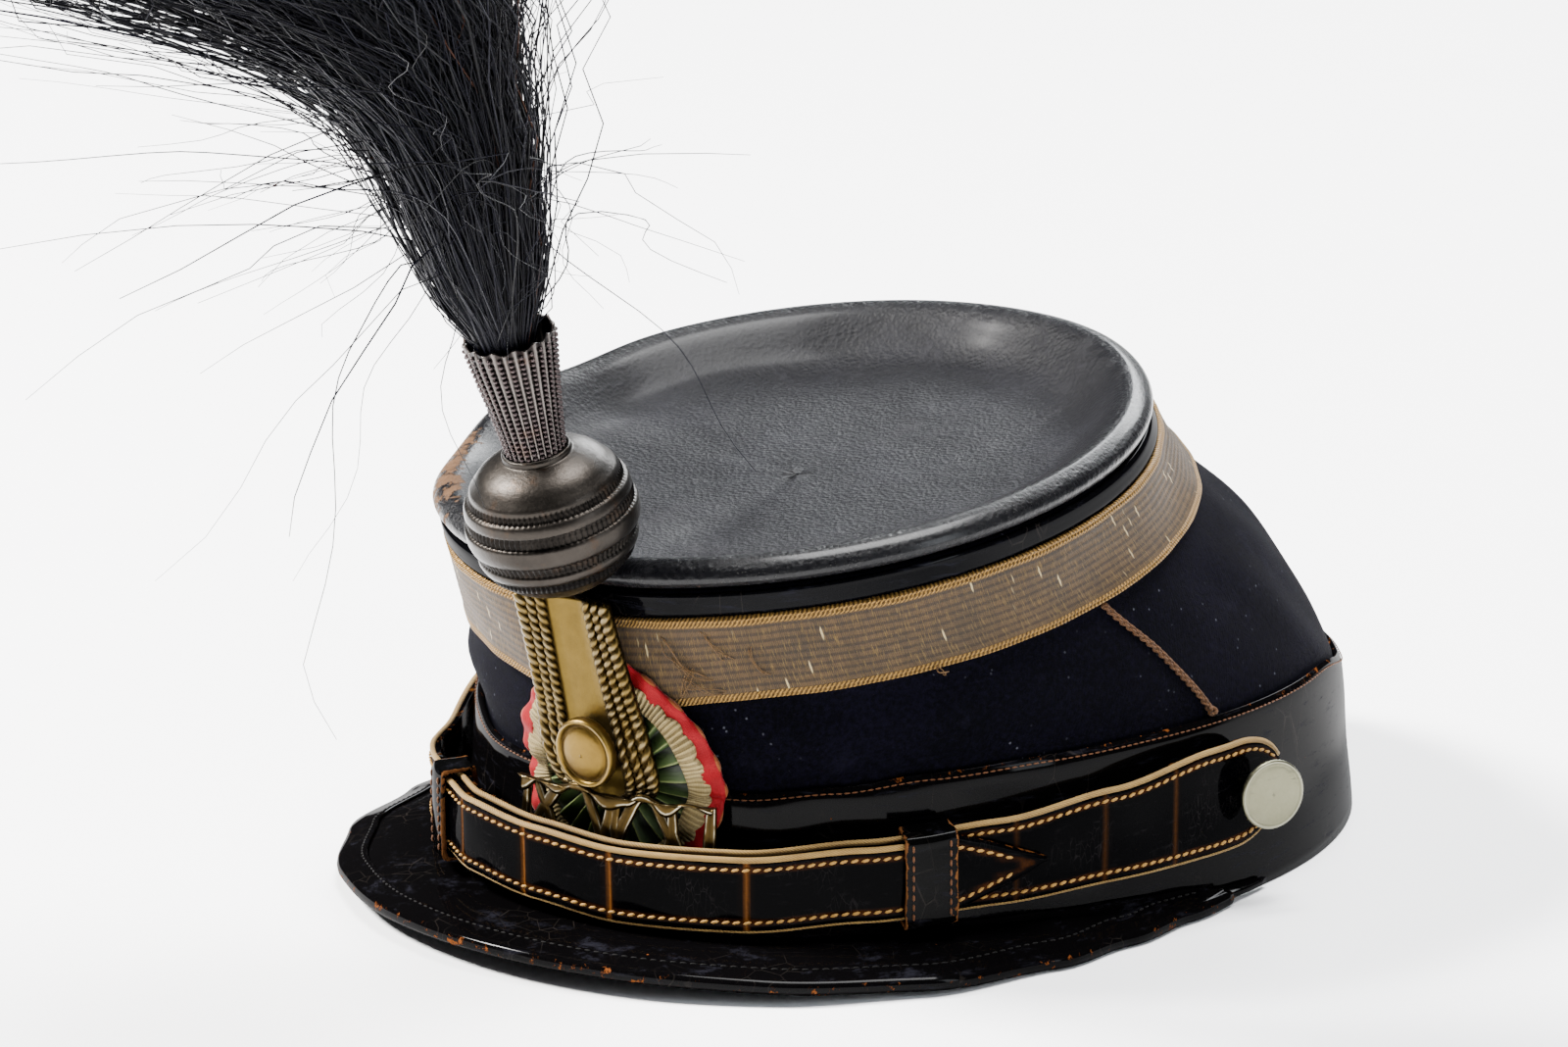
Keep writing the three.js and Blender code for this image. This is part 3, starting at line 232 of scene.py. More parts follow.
CAMERA_AZIMUTH = math.radians(39.03)
CAMERA_HEIGHT = math.radians(14.99)
CAMERA_DISTANCE = 1313.0
CAMERA_TARGET = Vector((0, 3.6, 60.0))
FOCAL_PIXELS = 6695.0
FRAME_PIXELS = 1600.0
SENSOR_WIDTH = 36.0
ASIDE_PIXELS = 133.7  # how far the hat's middle stands from the middle of the frame
BELOW_PIXELS = -2.0
back = Vector((math.sin(CAMERA_AZIMUTH) * math.cos(CAMERA_HEIGHT),
               -math.cos(CAMERA_AZIMUTH) * math.cos(CAMERA_HEIGHT), math.sin(CAMERA_HEIGHT)))
right = Vector((math.cos(CAMERA_AZIMUTH), math.sin(CAMERA_AZIMUTH), 0))
yaw = math.atan2(ASIDE_PIXELS, FOCAL_PIXELS)
pitch = math.atan2(BELOW_PIXELS, FOCAL_PIXELS)
axes = Matrix((right, back.cross(right), back)).transposed()
turned = axes @ Matrix.Rotation(yaw, 3, "Y") @ Matrix.Rotation(-pitch, 3, "X")
camera_data = bpy.data.cameras.new("camera")
camera_data.sensor_width = SENSOR_WIDTH
camera_data.lens = FOCAL_PIXELS * SENSOR_WIDTH / FRAME_PIXELS
camera = bpy.data.objects.new("camera", camera_data)
bpy.context.scene.collection.objects.link(camera)
camera.location = Vector(placed(CAMERA_TARGET + back * CAMERA_DISTANCE))
camera.rotation_euler = turned.to_euler()
bpy.context.scene.camera = camera

# Crown: the cloth wall of dark blue wool, hollow and open below, tucked into the band at its foot and
# under the leather top's roll at its upper edge. Its outer face follows one line for each angle.
HEAD_LENGTH = 197.6
HEAD_WIDTH = 165.2
HEAD_EGG = 0.06  # how much narrower the oval is in front than behind, as a share
BAND_LEAN = 0.088
BAND_HEIGHT = 36.4
BAND_ROWS = [  # degrees from the front, share of the band's height
    (0, 0.885), (25, 0.876), (37, 0.915), (49, 0.965), (64, 0.992), (80, 1), (114, 0.99), (138, 0.83),
    (180, 0.79)]
CROWN_HEIGHT = 88.5
TOP_LENGTH = 141.8
TOP_WIDTH = 129.4
TOP_FORWARD = 34.5
TOP_TILT = 8.2
RIM_ROLL = 4.6
RIM_DENT = 5.2
CROWN_ROWS = [  # height, forward, length, width and tilt, as shares of the top's own
    (0.565, 0.3, 1.22, 1.145, 0.75), (0.724, 0.67, 1.062, 1.045, 1.41)]
RIM_DENTS = [  # angle, reach in degrees, how far down and how far in, as shares of RIM_DENT
    (6, 17, 0.5, 1), (-62, 15, 0.31, 0.27), (-98, 10, 0.17, 0.1), (150, 22, -0.15, 0.06)]
CLOTH = 2.0
MEAN_RADIUS = 85  # millimetres, of the head, for lengths that are measured round it


def smooth(value, low, high):
    """0 at low, 1 at high, eased between them."""
    share = np.clip((value - low) / (high - low), 0, 1)
    return share * share * (3 - 2 * share)


def column(table, at, index=1):
    """A column of a table at an angle, eased between its rows."""
    keys = np.array([row[0] for row in table], dtype=float)
    values = np.array([row[index] for row in table], dtype=float)
    at = np.clip(at, keys[0], keys[-1])
    low = np.clip(np.searchsorted(keys, at, side="right") - 1, 0, len(keys) - 2)
    share = (at - keys[low]) / (keys[low + 1] - keys[low])
    share = share * share * (3 - 2 * share)
    return values[low] + (values[low + 1] - values[low]) * share


def turned_from(angle, place):
    """Degrees from a place round the head to an angle, between -180 and 180."""
    return (angle - place + 540) % 360 - 180


def unit(vectors):
    """The same directions, one millimetre long."""
    return vectors / (np.linalg.norm(vectors, axis=-1, keepdims=True) + 1e-12)


def band_point(angle, height, out=0.0):
    """A point of the band's outer face, the head's oval that narrows a little upward."""
    turn = np.radians(angle)
    length = HEAD_LENGTH / 2 - BAND_LEAN * height + out
    width = HEAD_WIDTH / 2 - BAND_LEAN * height + out
    side = width * np.sin(turn) * (1 - HEAD_EGG * np.cos(turn))
    return np.stack(np.broadcast_arrays(side, -length * np.cos(turn), height), -1)


def band_normal(angle, height=0.0):
    """The level direction that the band faces at an angle."""
    ahead = band_point(angle + 1, height) - band_point(angle - 1, height)
    return unit(np.stack([ahead[..., 1], -ahead[..., 0], ahead[..., 0] * 0], -1))


def band_height(angle):
    return BAND_HEIGHT * column(BAND_ROWS, np.abs(turned_from(angle, 0)))


def tilted_ring(angle, height, forward, length, width, tilt):
    """A point of an oval ring by its half length and half width, tilted down in front."""
    turn = np.radians(angle)
    lean = np.radians(tilt)
    along = -np.cos(turn) * length
    return np.stack(np.broadcast_arrays(width * np.sin(turn), -forward + along * np.cos(lean),
                                        height + along * np.sin(lean)), -1)


def rim_dent(angle, index):
    """How far the dents press the rim down (2) or in (3) at an angle."""
    total = 0.0
    for row in RIM_DENTS:
        total = total + RIM_DENT * row[index] * np.exp(-((turned_from(angle, row[0]) / row[1]) ** 2))
    return total


def rim_point(angle, inward, down):
    """A ring of the top, by its distance in from the crest and down from the crest's plane."""
    angle, inward, down = np.broadcast_arrays(np.asarray(angle, float), inward, down)
    fade = smooth(TOP_WIDTH / 2 - inward, TOP_WIDTH / 6, TOP_WIDTH / 2)
    shrink = inward + fade * rim_dent(angle, 3)
    drop = down + fade * rim_dent(angle, 2)
    lean = math.radians(TOP_TILT)
    return tilted_ring(angle, CROWN_HEIGHT - drop * math.cos(lean), TOP_FORWARD - drop * math.sin(lean),
                       TOP_LENGTH / 2 - shrink, TOP_WIDTH / 2 - shrink, TOP_TILT)


def spline(points, steps):
    """A smooth line through points laid along the second axis, that many steps between each two."""
    first = 2 * points[:, :1] - points[:, 1:2]
    last = 2 * points[:, -1:] - points[:, -2:-1]
    held = np.concatenate([first, points, last], 1)
    gap = np.maximum(np.linalg.norm(np.diff(held, axis=1), axis=-1, keepdims=True), 1e-6) ** 0.5
    a, b, c, d = held[:, :-3], held[:, 1:-2], held[:, 2:-1], held[:, 3:]
    g0, g1, g2 = gap[:, :-2], gap[:, 1:-1], gap[:, 2:]
    leave = ((b - a) / g0 - (c - a) / (g0 + g1) + (c - b) / g1) * g1
    meet = ((c - b) / g1 - (d - b) / (g1 + g2) + (d - c) / g2) * g1
    t = (np.arange(steps) / steps)[None, None, :, None]
    b, c, leave, meet = b[:, :, None], c[:, :, None], leave[:, :, None], meet[:, :, None]
    bent = (b + leave * t + (-3 * b + 3 * c - 2 * leave - meet) * t ** 2
            + (2 * b - 2 * c + leave + meet) * t ** 3)
    flat = bent.reshape(points.shape[0], -1, points.shape[2])
    return np.concatenate([flat, points[:, -1:]], 1)


def line_through(rows, steps):
    """A smooth line through one list of rows."""
    return spline(np.array([rows], dtype=float), steps)[0]


def resampled(lines, count):
    """Each line again, with its points evenly spaced, and the lines' lengths."""
    pace = np.linalg.norm(np.diff(lines, axis=1), axis=-1)
    run = np.concatenate([np.zeros((len(lines), 1)), np.cumsum(pace, 1)], 1)
    out = np.empty((len(lines), count, lines.shape[2]))
    for i, line in enumerate(lines):
        at = np.linspace(0, run[i, -1], count)
        for axis in range(lines.shape[2]):
            out[i, :, axis] = np.interp(at, run[i], line[:, axis])
    return out, run[:, -1]


WALL_TURN = 0.5  # degrees between the lines of the wall's table
WALL_COUNT = 300
BEHIND_BAND = 1.8  # how far the cloth's face lies behind the band's
wall_angles = np.arange(0, 360, WALL_TURN)
wall_tops = band_height(wall_angles)
line_rows = [band_point(wall_angles, share * wall_tops, -BEHIND_BAND) for share in (0, 0.5, 0.85, 1)]
for high, forward, length, width, tilt in CROWN_ROWS:
    line_rows.append(tilted_ring(wall_angles, high * CROWN_HEIGHT, forward * TOP_FORWARD,
                                 length * TOP_LENGTH / 2, width * TOP_WIDTH / 2, tilt * TOP_TILT))
line_rows.append(rim_point(wall_angles, -RIM_ROLL * 0.3, RIM_ROLL + 1.5))
wall_table, wall_length = resampled(spline(np.stack(line_rows, 1)[:, ::-1], 40), WALL_COUNT)
wall_around = np.roll(wall_table, -2, 0) - np.roll(wall_table, 2, 0)
wall_rise = -np.gradient(wall_table, axis=1)
wall_normals = unit(np.cross(wall_around, wall_rise))


def wall_read(table, angle, down):
    """A table of the wall, read between its four nearest entries."""
    at = (angle % 360) / WALL_TURN
    low = np.floor(at).astype(int) % len(table)
    high = (low + 1) % len(table)
    share = (at - np.floor(at))[..., None]
    length = wall_length[low] * (1 - share[..., 0]) + wall_length[high] * share[..., 0]
    run = np.clip(down / length, 0, 1) * (WALL_COUNT - 1)
    first = np.minimum(np.floor(run).astype(int), WALL_COUNT - 2)
    part = (run - first)[..., None]
    near = table[low, first] * (1 - part) + table[low, first + 1] * part
    far = table[high, first] * (1 - part) + table[high, first + 1] * part
    return near * (1 - share) + far * share


def wall_point(angle, down, out=0.0):
    """A point of the wall, measured down from its upper edge and out from the cloth's face."""
    angle, down, out = np.broadcast_arrays(np.asarray(angle, float), down, out)
    normal = unit(wall_read(wall_normals, angle, down))
    return wall_read(wall_table, angle, down) + normal * out[..., None]


def wall_down(angle, height):
    """How far down the wall its line passes a height."""
    angle, height = np.broadcast_arrays(np.asarray(angle, float), height)
    low = np.zeros(angle.shape)
    high = np.interp(angle % 360, np.append(wall_angles, 360), np.append(wall_length, wall_length[0]))
    for _ in range(18):
        middle = (low + high) / 2
        above = wall_read(wall_table, angle, middle)[..., 2] > height
        low = np.where(above, middle, low)
        high = np.where(above, high, middle)
    return low


def grid_faces(rows, columns, round_rows=False, round_columns=False, start=0):
    """Four-cornered faces over a grid of points numbered row by row."""
    i = np.arange(rows if round_rows else rows - 1)
    j = np.arange(columns if round_columns else columns - 1)
    i, j = np.meshgrid(i, j, indexing="ij")
    down = (i + 1) % rows
    over = (j + 1) % columns
    faces = np.stack([i * columns + j, i * columns + over, down * columns + over, down * columns + j], -1)
    return faces.reshape(-1, 4) + start


def mesh_piece(name, points, faces, material, uv, values=None):
    """An object from points in millimetres, with uv and named values given for each point."""
    mesh = bpy.data.meshes.new(name)
    points = placed(points).reshape(-1, 3).astype(np.float32)
    uv = np.asarray(uv, dtype=np.float32).reshape(-1, 2)
    faces = [np.asarray(block, dtype=np.int32) for block in faces]
    corners = np.concatenate([block.ravel() for block in faces])
    sizes = np.concatenate([np.full(len(block), block.shape[1], dtype=np.int32) for block in faces])
    mesh.vertices.add(len(points))
    mesh.vertices.foreach_set("co", points.ravel())
    mesh.loops.add(len(corners))
    mesh.loops.foreach_set("vertex_index", corners)
    mesh.polygons.add(len(sizes))
    mesh.polygons.foreach_set("loop_start", np.concatenate([[0], np.cumsum(sizes)[:-1]]).astype(np.int32))
    mesh.polygons.foreach_set("loop_total", sizes)
    mesh.update(calc_edges=True)
    layer = mesh.uv_layers.new(name="UVMap")
    layer.data.foreach_set("uv", uv[corners].ravel())
    for key, value in (values or {}).items():
        made = mesh.attributes.new(key, "FLOAT", "POINT")
        made.data.foreach_set("value", np.asarray(value, dtype=np.float32).ravel())
    mesh.validate()
    mesh.shade_smooth()
    mesh.materials.append(material)
    made_object = bpy.data.objects.new(name, mesh)
    bpy.context.scene.collection.objects.link(made_object)
    return made_object


def shell(name, outer, inner, material, uv, round_rows=True, values=None):
    """A wall with thickness between an outer and an inner grid, closed along its edges."""
    rows, columns = outer.shape[:2]
    ring = np.concatenate([outer, inner[:, ::-1]], 1)
    marks = np.concatenate([uv, uv[:, ::-1]], 1)
    held = {}
    for key, value in (values or {}).items():
        value = np.broadcast_to(value, (rows, columns))
        held[key] = np.concatenate([value, value[:, ::-1]], 1)
    faces = [grid_faces(rows, columns * 2, round_rows, True)]
    if not round_rows:
        for row, turn in ((0, 1), (rows - 1, -1)):
            start = row * columns * 2
            j = np.arange(columns - 1)
            cap = np.stack([start + j, start + 2 * columns - 1 - j, start + 2 * columns - 2 - j,
                            start + j + 1], -1)
            faces.append(cap[:, ::turn])
    made = mesh_piece(name, ring, faces, material, marks, held)
    outward(made)
    return made


def outward(made):
    """Turns the faces of a closed piece outward."""
    mesh = made.data
    coordinates = np.empty(len(mesh.vertices) * 3)
    mesh.vertices.foreach_get("co", coordinates)
    coordinates = coordinates.reshape(-1, 3)
    mesh.calc_loop_triangles()
    corners = np.empty(len(mesh.loop_triangles) * 3, dtype=np.int32)
    mesh.loop_triangles.foreach_get("vertices", corners)
    a, b, c = coordinates[corners.reshape(-1, 3)].transpose(1, 0, 2)
    if (a * np.cross(b, c)).sum() < 0:
        mesh.flip_normals()


def flat_uv(along, across):
    """Millimetres along and across a piece, for weave and stains that run with it."""
    return np.stack(np.broadcast_arrays(along, across), -1).astype(float)


def around_uv(angle, down):
    """Millimetres round the head and down the wall."""
    return flat_uv(angle * (math.pi / 180) * MEAN_RADIUS, down)


def wool_material():
    surface = Surface("navy_wool", Sheen_Weight=0.02, Sheen_Roughness=0.6, Sheen_Tint=colour(96, 104, 150),
                      Specular_IOR_Level=0.03)
    mm = surface.mm
    nap = mm.noise(1.1, 7, 0.75)
    cloud = mm.noise(0.035, 4)
    fine = mm.noise(5.0, 3, 0.7)
    worn = mm.noise(0.11, 5, 0.7).step(0.56, 0.7)
    base = (nap * 0.75 + cloud * 0.25).step(0.4, 0.66).mix(colour(2, 2, 6), colour(17, 15, 31))
    base = (worn * 0.14).mix(base, colour(44, 42, 62))
    dust = (mm.cells(0.42) + fine * 0.15).step(0.21, 0.13) * mm.noise(0.05, 2).step(0.5, 0.62)
    lint = mm.cells(0.2, (1, 2.5, 1)).step(0.075, 0.045) * mm.noise(0.03, 2).step(0.52, 0.62)
    base = (dust * 0.4).mix(base, colour(150, 152, 168))
    base = (lint * 0.6).mix(base, colour(150, 152, 166))
    across, down, _ = surface.uv.parts()
    weave = (across + down).wave(0.9) * 0.5 + fine
    return surface.feed(Base_Color=base, Roughness=nap * 0.15 + 0.82,
                        Normal=surface.bump((nap * 0.42, 0.8), (weave * 0.08, 0.5), (cloud * 2.0, 0.35)))


FOOT_CLEAR = 0.3  # how far the inner foot of the cloth stays off the floor
crown_angle = np.arange(0, 360, 2.0)[:, None]
crown_share = np.linspace(0, 1, 42)[None, :]
crown_foot = np.interp(crown_angle, wall_angles, wall_length)
crown_down = crown_share * crown_foot
crown_soft = (0.22 * np.sin(np.radians(crown_angle) * 11 + crown_down * 0.09)
              + 0.16 * np.sin(np.radians(crown_angle) * 23 - crown_down * 0.05 + 1.0))
crown_free = smooth(crown_down, 26, 34) * smooth(crown_foot - crown_down, 34, 46)
crown_out = crown_soft * crown_free
crown_inner = wall_point(crown_angle, crown_down, crown_out - CLOTH)
crown_inner[:, -1, 2] = FOOT_CLEAR
crown = shell("crown_cloth", wall_point(crown_angle, crown_down, crown_out), crown_inner,
              wool_material(), around_uv(crown_angle, crown_down))
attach(crown, "root")
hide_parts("crown")

# Head band: a patent leather band sewn round the foot of the cloth, lower in front and lowest behind.
# Its varnish is rippled, crazed and rubbed through to brown along the edges; stitches run by its top.
BAND_LEATHER = 1.5


def patent_leather(name, shade=(6, 5, 6), brown=(116, 58, 24), wear=1.0, ripple=1.0):
    """Black varnished leather: ripples, crazing, scuffs lightened grey-blue as a painted sheen, and brown
    where the varnish has gone.
    """
    surface = Surface(name, Coat_IOR=1.4, Coat_Roughness=0.07, Specular_IOR_Level=0.0)
    mm = surface.mm
    broad = mm.noise(0.045, 3)
    ripples = mm.noise(0.16, 3, 0.5, (0.6, 0.6, 2.2))
    grain = mm.noise(1.4, 5, 0.65)
    crack = mm.cells(0.22, (1, 1, 0.45), "DISTANCE_TO_EDGE")
    crazed = crack.step(0.025, 0.004) * mm.noise(0.06, 3).step(0.5, 0.64)
    edge = surface.attribute("wear")
    chips = mm.noise(0.35, 6, 0.75) + edge * 0.2 * wear
    bare = chips.step(0.78, 0.82)
    spot = (mm.cells(0.16) + grain * 0.05).step(0.075, 0.05) * mm.noise(0.04, 2).step(0.5, 0.6)
    bare = (bare + spot * wear).math("MINIMUM", 1.0)
    scuff = mm.noise(0.3, 6, 0.75, (0.35, 0.35, 2.4)).step(0.54, 0.74)
    base = grain.mix(colour(*shade), colour(*[c + 6 for c in shade]))
    # The grey-blue of the scuffs is partly real scuffing and partly a painted sheen, standing in for the
    # bright room reflected at grazing angles.
    base = (scuff * 0.3).mix(base, colour(74, 74, 88))
    base = (crazed * 0.2).mix(base, colour(92, 84, 78))
    torn = mm.noise(0.9, 4).mix(colour(*brown), colour(brown[0] + 58, brown[1] + 46, brown[2] + 30))
    base = bare.mix(base, torn)
    dull = scuff * 0.3 + crazed * 0.3 + grain * 0.08 + bare * 0.5 + 0.17
    return surface.feed(Base_Color=base, Roughness=dull, Coat_Weight=(1.0 - bare) * (0.11 - scuff * 0.08),
                        Normal=surface.bump((broad * 1.2 * ripple, 0.4), (ripples * 0.4 * ripple, 0.45),
                                            (grain * 0.05 - crazed * 0.12 - bare * 0.25, 0.8)))


band_angle = np.arange(0, 360, 2.0)[:, None]
BAND_PROFILE = [  # share of the height, how far out
    (0.0, -0.5), (0.0, 0.0), (0.25, 0.0), (0.5, 0.0), (0.75, 0.0), (0.94, 0.0), (0.98, -0.2), (1.0, -0.7)]
band_steps = np.linspace(0, 7, 29)
band_shares = np.interp(band_steps, range(8), [row[0] for row in BAND_PROFILE])[None, :]
band_round = np.interp(band_steps, range(8), [row[1] for row in BAND_PROFILE])[None, :]
band_high = band_height(band_angle)
band_level = band_shares * band_high + 0.15 * (band_shares == 0)
band_wave = 0.3 * np.sin(np.radians(band_angle) * 17 + band_level * 0.25)
band_soft = band_wave * np.sin(band_level / 36 * math.pi)
band_soft = band_soft * smooth(np.abs(turned_from(band_angle, 0)), 14, 30) * 0.6 - 0.05
band_outer = band_point(band_angle, band_level, band_round + band_soft)
band_inner = band_point(band_angle, np.minimum(band_level, band_high - 0.6), -BAND_LEATHER)
band_wear = smooth(band_shares, 0.93, 1) + 0.7 * smooth(band_shares, 0.06, 0)
head_band = shell("head_band_leather", band_outer, band_inner, patent_leather("band_patent"),
                  around_uv(band_angle, band_level), values={"wear": band_wear})
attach(head_band, "root")
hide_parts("head_band")


def whole_turn(steps):
    return np.linspace(0, 2 * math.pi, steps, endpoint=False)


def lengths_along(path):
    """How far along a path each of its points lies."""
    return np.concatenate([[0], np.cumsum(np.linalg.norm(np.diff(path, axis=0), axis=1))])


def tube(path, radius, sides=8, squash=1.0, lift=(0.02, 0.01, 1.0)):
    """Points, faces and uv of a round cord along a path, its radius given once or for each point."""
    path = np.asarray(path, float)
    ahead = unit(np.gradient(path, axis=0))
    side = unit(np.cross(ahead, lift))
    over = np.cross(side, ahead)
    radius = np.broadcast_to(np.asarray(radius, float), (len(path),))[:, None, None]
    turn = whole_turn(sides)[None, :, None]
    ring = path[:, None] + radius * (np.cos(turn) * side[:, None] + squash * np.sin(turn) * over[:, None])
    uv = flat_uv(lengths_along(path)[:, None], turn[0, :, 0][None] * radius[:, :, 0])
    last = (len(path) - 1) * sides
    faces = [grid_faces(len(path), sides, False, True), np.arange(sides)[None, ::-1],
             (np.arange(sides) + last)[None]]
    return ring.reshape(-1, 3), faces, uv.reshape(-1, 2)


def merged(name, parts, material, values=None):
    """One object from several lists of points, faces and uv."""
    points = np.concatenate([part[0] for part in parts])
    uv = np.concatenate([part[2] for part in parts])
    blocks = {}
    start = 0
    for part in parts:
        for block in part[1]:
            blocks.setdefault(block.shape[1], []).append(block + start)
        start += len(part[0])
    faces = [np.concatenate(blocks[size]) for size in sorted(blocks)]
    return mesh_piece(name, points, faces, material, uv, values=values)


def thread_material(name, light, dark, shine=0.5):
    """Twisted thread, darker in the grooves of its twist, with patches of soil."""
    surface = Surface(name, Sheen_Weight=0.03, Sheen_Roughness=0.5, Specular_IOR_Level=shine * 0.4)
    along, across, _ = surface.uv.parts()
    twist = (along + across * 1.4).wave(0.7)
    soil = surface.mm.noise(0.3, 4)
    shade = (twist * 0.6 + soil * 0.6 - 0.1).mix(colour(*dark), colour(*light))
    return surface.feed(Base_Color=shade, Roughness=soil * 0.2 + 0.55,
                        Normal=surface.bump((twist * 0.12, 0.6)))


brown_thread = thread_material("waxed_brown_thread", (132, 80, 40), (56, 30, 14))


def run_of_stitches(name, path, outward_at, material, pitch, length, thick, turn=0.0):
    """Stitches set along a path by Geometry Nodes: one short plump thread at every pitch."""
    path = np.asarray(path, float)
    pace = lengths_along(path)
    at = np.arange(pitch / 2, pace[-1], pitch)
    middle = np.stack([np.interp(at, pace, path[:, axis]) for axis in range(3)], 1)
    ahead = np.stack([np.interp(at, pace, np.gradient(path, axis=0)[:, axis]) for axis in range(3)], 1)
    up = np.stack([np.interp(at, pace, np.asarray(outward_at)[:, axis]) for axis in range(3)], 1)
    return stitched(name, middle, ahead, up, material, length, thick, turn)


def stitched(name, middle, ahead, up, material, length, thick, turn=0.0):
    """Stitches at points, each along its own direction and lying against the surface under it."""
    ahead = unit(ahead)
    up = unit(up - (up * ahead).sum(1, keepdims=True) * ahead)
    side = np.cross(up, ahead)
    ahead = ahead * math.cos(turn) + side * math.sin(turn)
    side = np.cross(up, ahead)
    turns = np.array([Matrix(np.stack(axes, 1).tolist()).to_euler()[:] for axes in zip(ahead, side, up)])
    mesh = bpy.data.meshes.new(name)
    mesh.from_pydata(placed(middle).tolist(), [], [])
    lay = mesh.attributes.new("turn", "FLOAT_VECTOR", "POINT")
    lay.data.foreach_set("vector", turns.astype(np.float32).ravel())
    made = bpy.data.objects.new(name, mesh)
    bpy.context.scene.collection.objects.link(made)
    return grown(made, bead_tree(), material, {"Length": length * 0.001, "Thickness": thick * 0.001})


def bead_tree():
    """Geometry Nodes that set one small rounded bar at every point, turned as the point says."""
    if "small_bars" in bpy.data.node_groups:
        return bpy.data.node_groups["small_bars"]
    tree = bpy.data.node_groups.new("small_bars", "GeometryNodeTree")
    for name, kind in (("Geometry", "Geometry"), ("Length", "Float"), ("Thickness", "Float"),
                       ("Material", "Material")):
        tree.interface.new_socket(name, in_out="INPUT", socket_type=f"NodeSocket{kind}")
    tree.interface.new_socket("Geometry", in_out="OUTPUT", socket_type="NodeSocketGeometry")
    given = tree.nodes.new("NodeGroupInput")
    ball = tree.nodes.new("GeometryNodeMeshUVSphere")
    ball.inputs["Segments"].default_value = 6
    ball.inputs["Rings"].default_value = 5
    ball.inputs["Radius"].default_value = 1.0
    size = tree.nodes.new("ShaderNodeCombineXYZ")
    half_length = tree.nodes.new("ShaderNodeMath")
    half_length.operation = "MULTIPLY"
    half_length.inputs[1].default_value = 0.5
    stretch = tree.nodes.new("GeometryNodeTransform")
    lay = tree.nodes.new("GeometryNodeInputNamedAttribute")
    lay.data_type = "FLOAT_VECTOR"
    lay.inputs["Name"].default_value = "turn"
    angles = tree.nodes.new("FunctionNodeEulerToRotation")
    scatter = tree.nodes.new("GeometryNodeInstanceOnPoints")
    real = tree.nodes.new("GeometryNodeRealizeInstances")
    paint = tree.nodes.new("GeometryNodeSetMaterial")
    smooth_node = tree.nodes.new("GeometryNodeSetShadeSmooth")
    found = tree.nodes.new("NodeGroupOutput")
    link = tree.links.new
    link(given.outputs["Length"], half_length.inputs[0])
    link(half_length.outputs[0], size.inputs["X"])
    link(given.outputs["Thickness"], size.inputs["Y"])
    link(given.outputs["Thickness"], size.inputs["Z"])
    link(ball.outputs["Mesh"], stretch.inputs["Geometry"])
    link(size.outputs[0], stretch.inputs["Scale"])
    link(given.outputs["Geometry"], scatter.inputs["Points"])
    link(stretch.outputs["Geometry"], scatter.inputs["Instance"])
    link(lay.outputs["Attribute"], angles.inputs[0])
    link(angles.outputs[0], scatter.inputs["Rotation"])
    link(scatter.outputs["Instances"], real.inputs["Geometry"])
    link(real.outputs["Geometry"], smooth_node.inputs["Geometry"])
    link(smooth_node.outputs["Geometry"], paint.inputs["Geometry"])
    link(given.outputs["Material"], paint.inputs["Material"])
    link(paint.outputs["Geometry"], found.inputs[0])
    return tree


def grown(made, tree, material, given):
    """Runs Geometry Nodes on an object and keeps what they made as its own mesh."""
    modifier = made.modifiers.new("grow", "NODES")
    modifier.node_group = tree
    slots = {item.name: item.identifier for item in tree.interface.items_tree if item.in_out == "INPUT"}
    modifier[slots["Material"]] = material
    for key, value in given.items():
        modifier[slots[key]] = value
    bpy.context.view_layer.update()
    seen = made.evaluated_get(bpy.context.evaluated_depsgraph_get())
    mesh = bpy.data.meshes.new_from_object(seen)
    made.modifiers.remove(modifier)
    made.data = mesh
    if not mesh.materials:
        mesh.materials.append(material)
    return made


stitch_angle = np.arange(0, 360, 0.5)
stitch_level = band_height(stitch_angle) - 1.1
band_stitches = run_of_stitches("head_band_stitches", band_point(stitch_angle, stitch_level, 0.05),
                                band_normal(stitch_angle), brown_thread, 1.5, 1.35, 0.17)
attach(band_stitches, "root")

# Peak: a small crescent of varnished leather sewn to the band's foot in front, and the thin leather
# strip folded over its edge and stitched along.
PEAK_REACH = 26.5
PEAK_SEAT = 7.0
PEAK_GAP = 0.3  # between the band and the peak's root
PEAK_LIFT = 3.6
PEAK_BOW = 0.8
PEAK_THICK = 2.4
PEAK_THIN = 1.2
EDGE_CLEAR = 0.3  # how far the binding's foot stays off the floor
PEAK_ROWS = [  # degrees from the front, share of the reach, share of the seat's height
    (0, 1, 1), (15, 0.995, 1), (30, 0.957, 1), (45, 0.834, 0.98), (60, 0.571, 0.94), (70, 0.363, 0.87),
    (80, 0.189, 0.74), (90, 0.08, 0.42), (96, 0.05, 0.3)]
BINDING_LEATHER = 0.7
BINDING_WIDTH = 5.0


def peak_reach(angle):
    return PEAK_REACH * column(PEAK_ROWS, np.abs(angle), 1)


def peak_top(angle, share):
    """The height of the peak's upper face: it falls to its edge, less in front than at the sides."""
    seat = PEAK_SEAT * column(PEAK_ROWS, np.abs(angle), 2)
    lift = PEAK_LIFT * np.maximum(0, np.cos(np.radians(angle * 1.35))) ** 2
    edge = np.minimum(seat, BINDING_LEATHER + EDGE_CLEAR + PEAK_THIN + lift)
    bow = PEAK_BOW * np.sin(math.pi * share) * smooth(peak_reach(angle), 0, PEAK_REACH)
    return seat + (edge - seat) * share + bow


def peak_point(angle, share, drop):
    """A point of the peak by its share of the way out, and how far it lies below the upper face."""
    out = PEAK_GAP + (peak_reach(angle) - PEAK_GAP) * share
    point = band_point(angle, 0.0) + band_normal(angle) * out[..., None]
    point[..., 2] = peak_top(angle, np.minimum(share, 1.0)) - drop
    return point


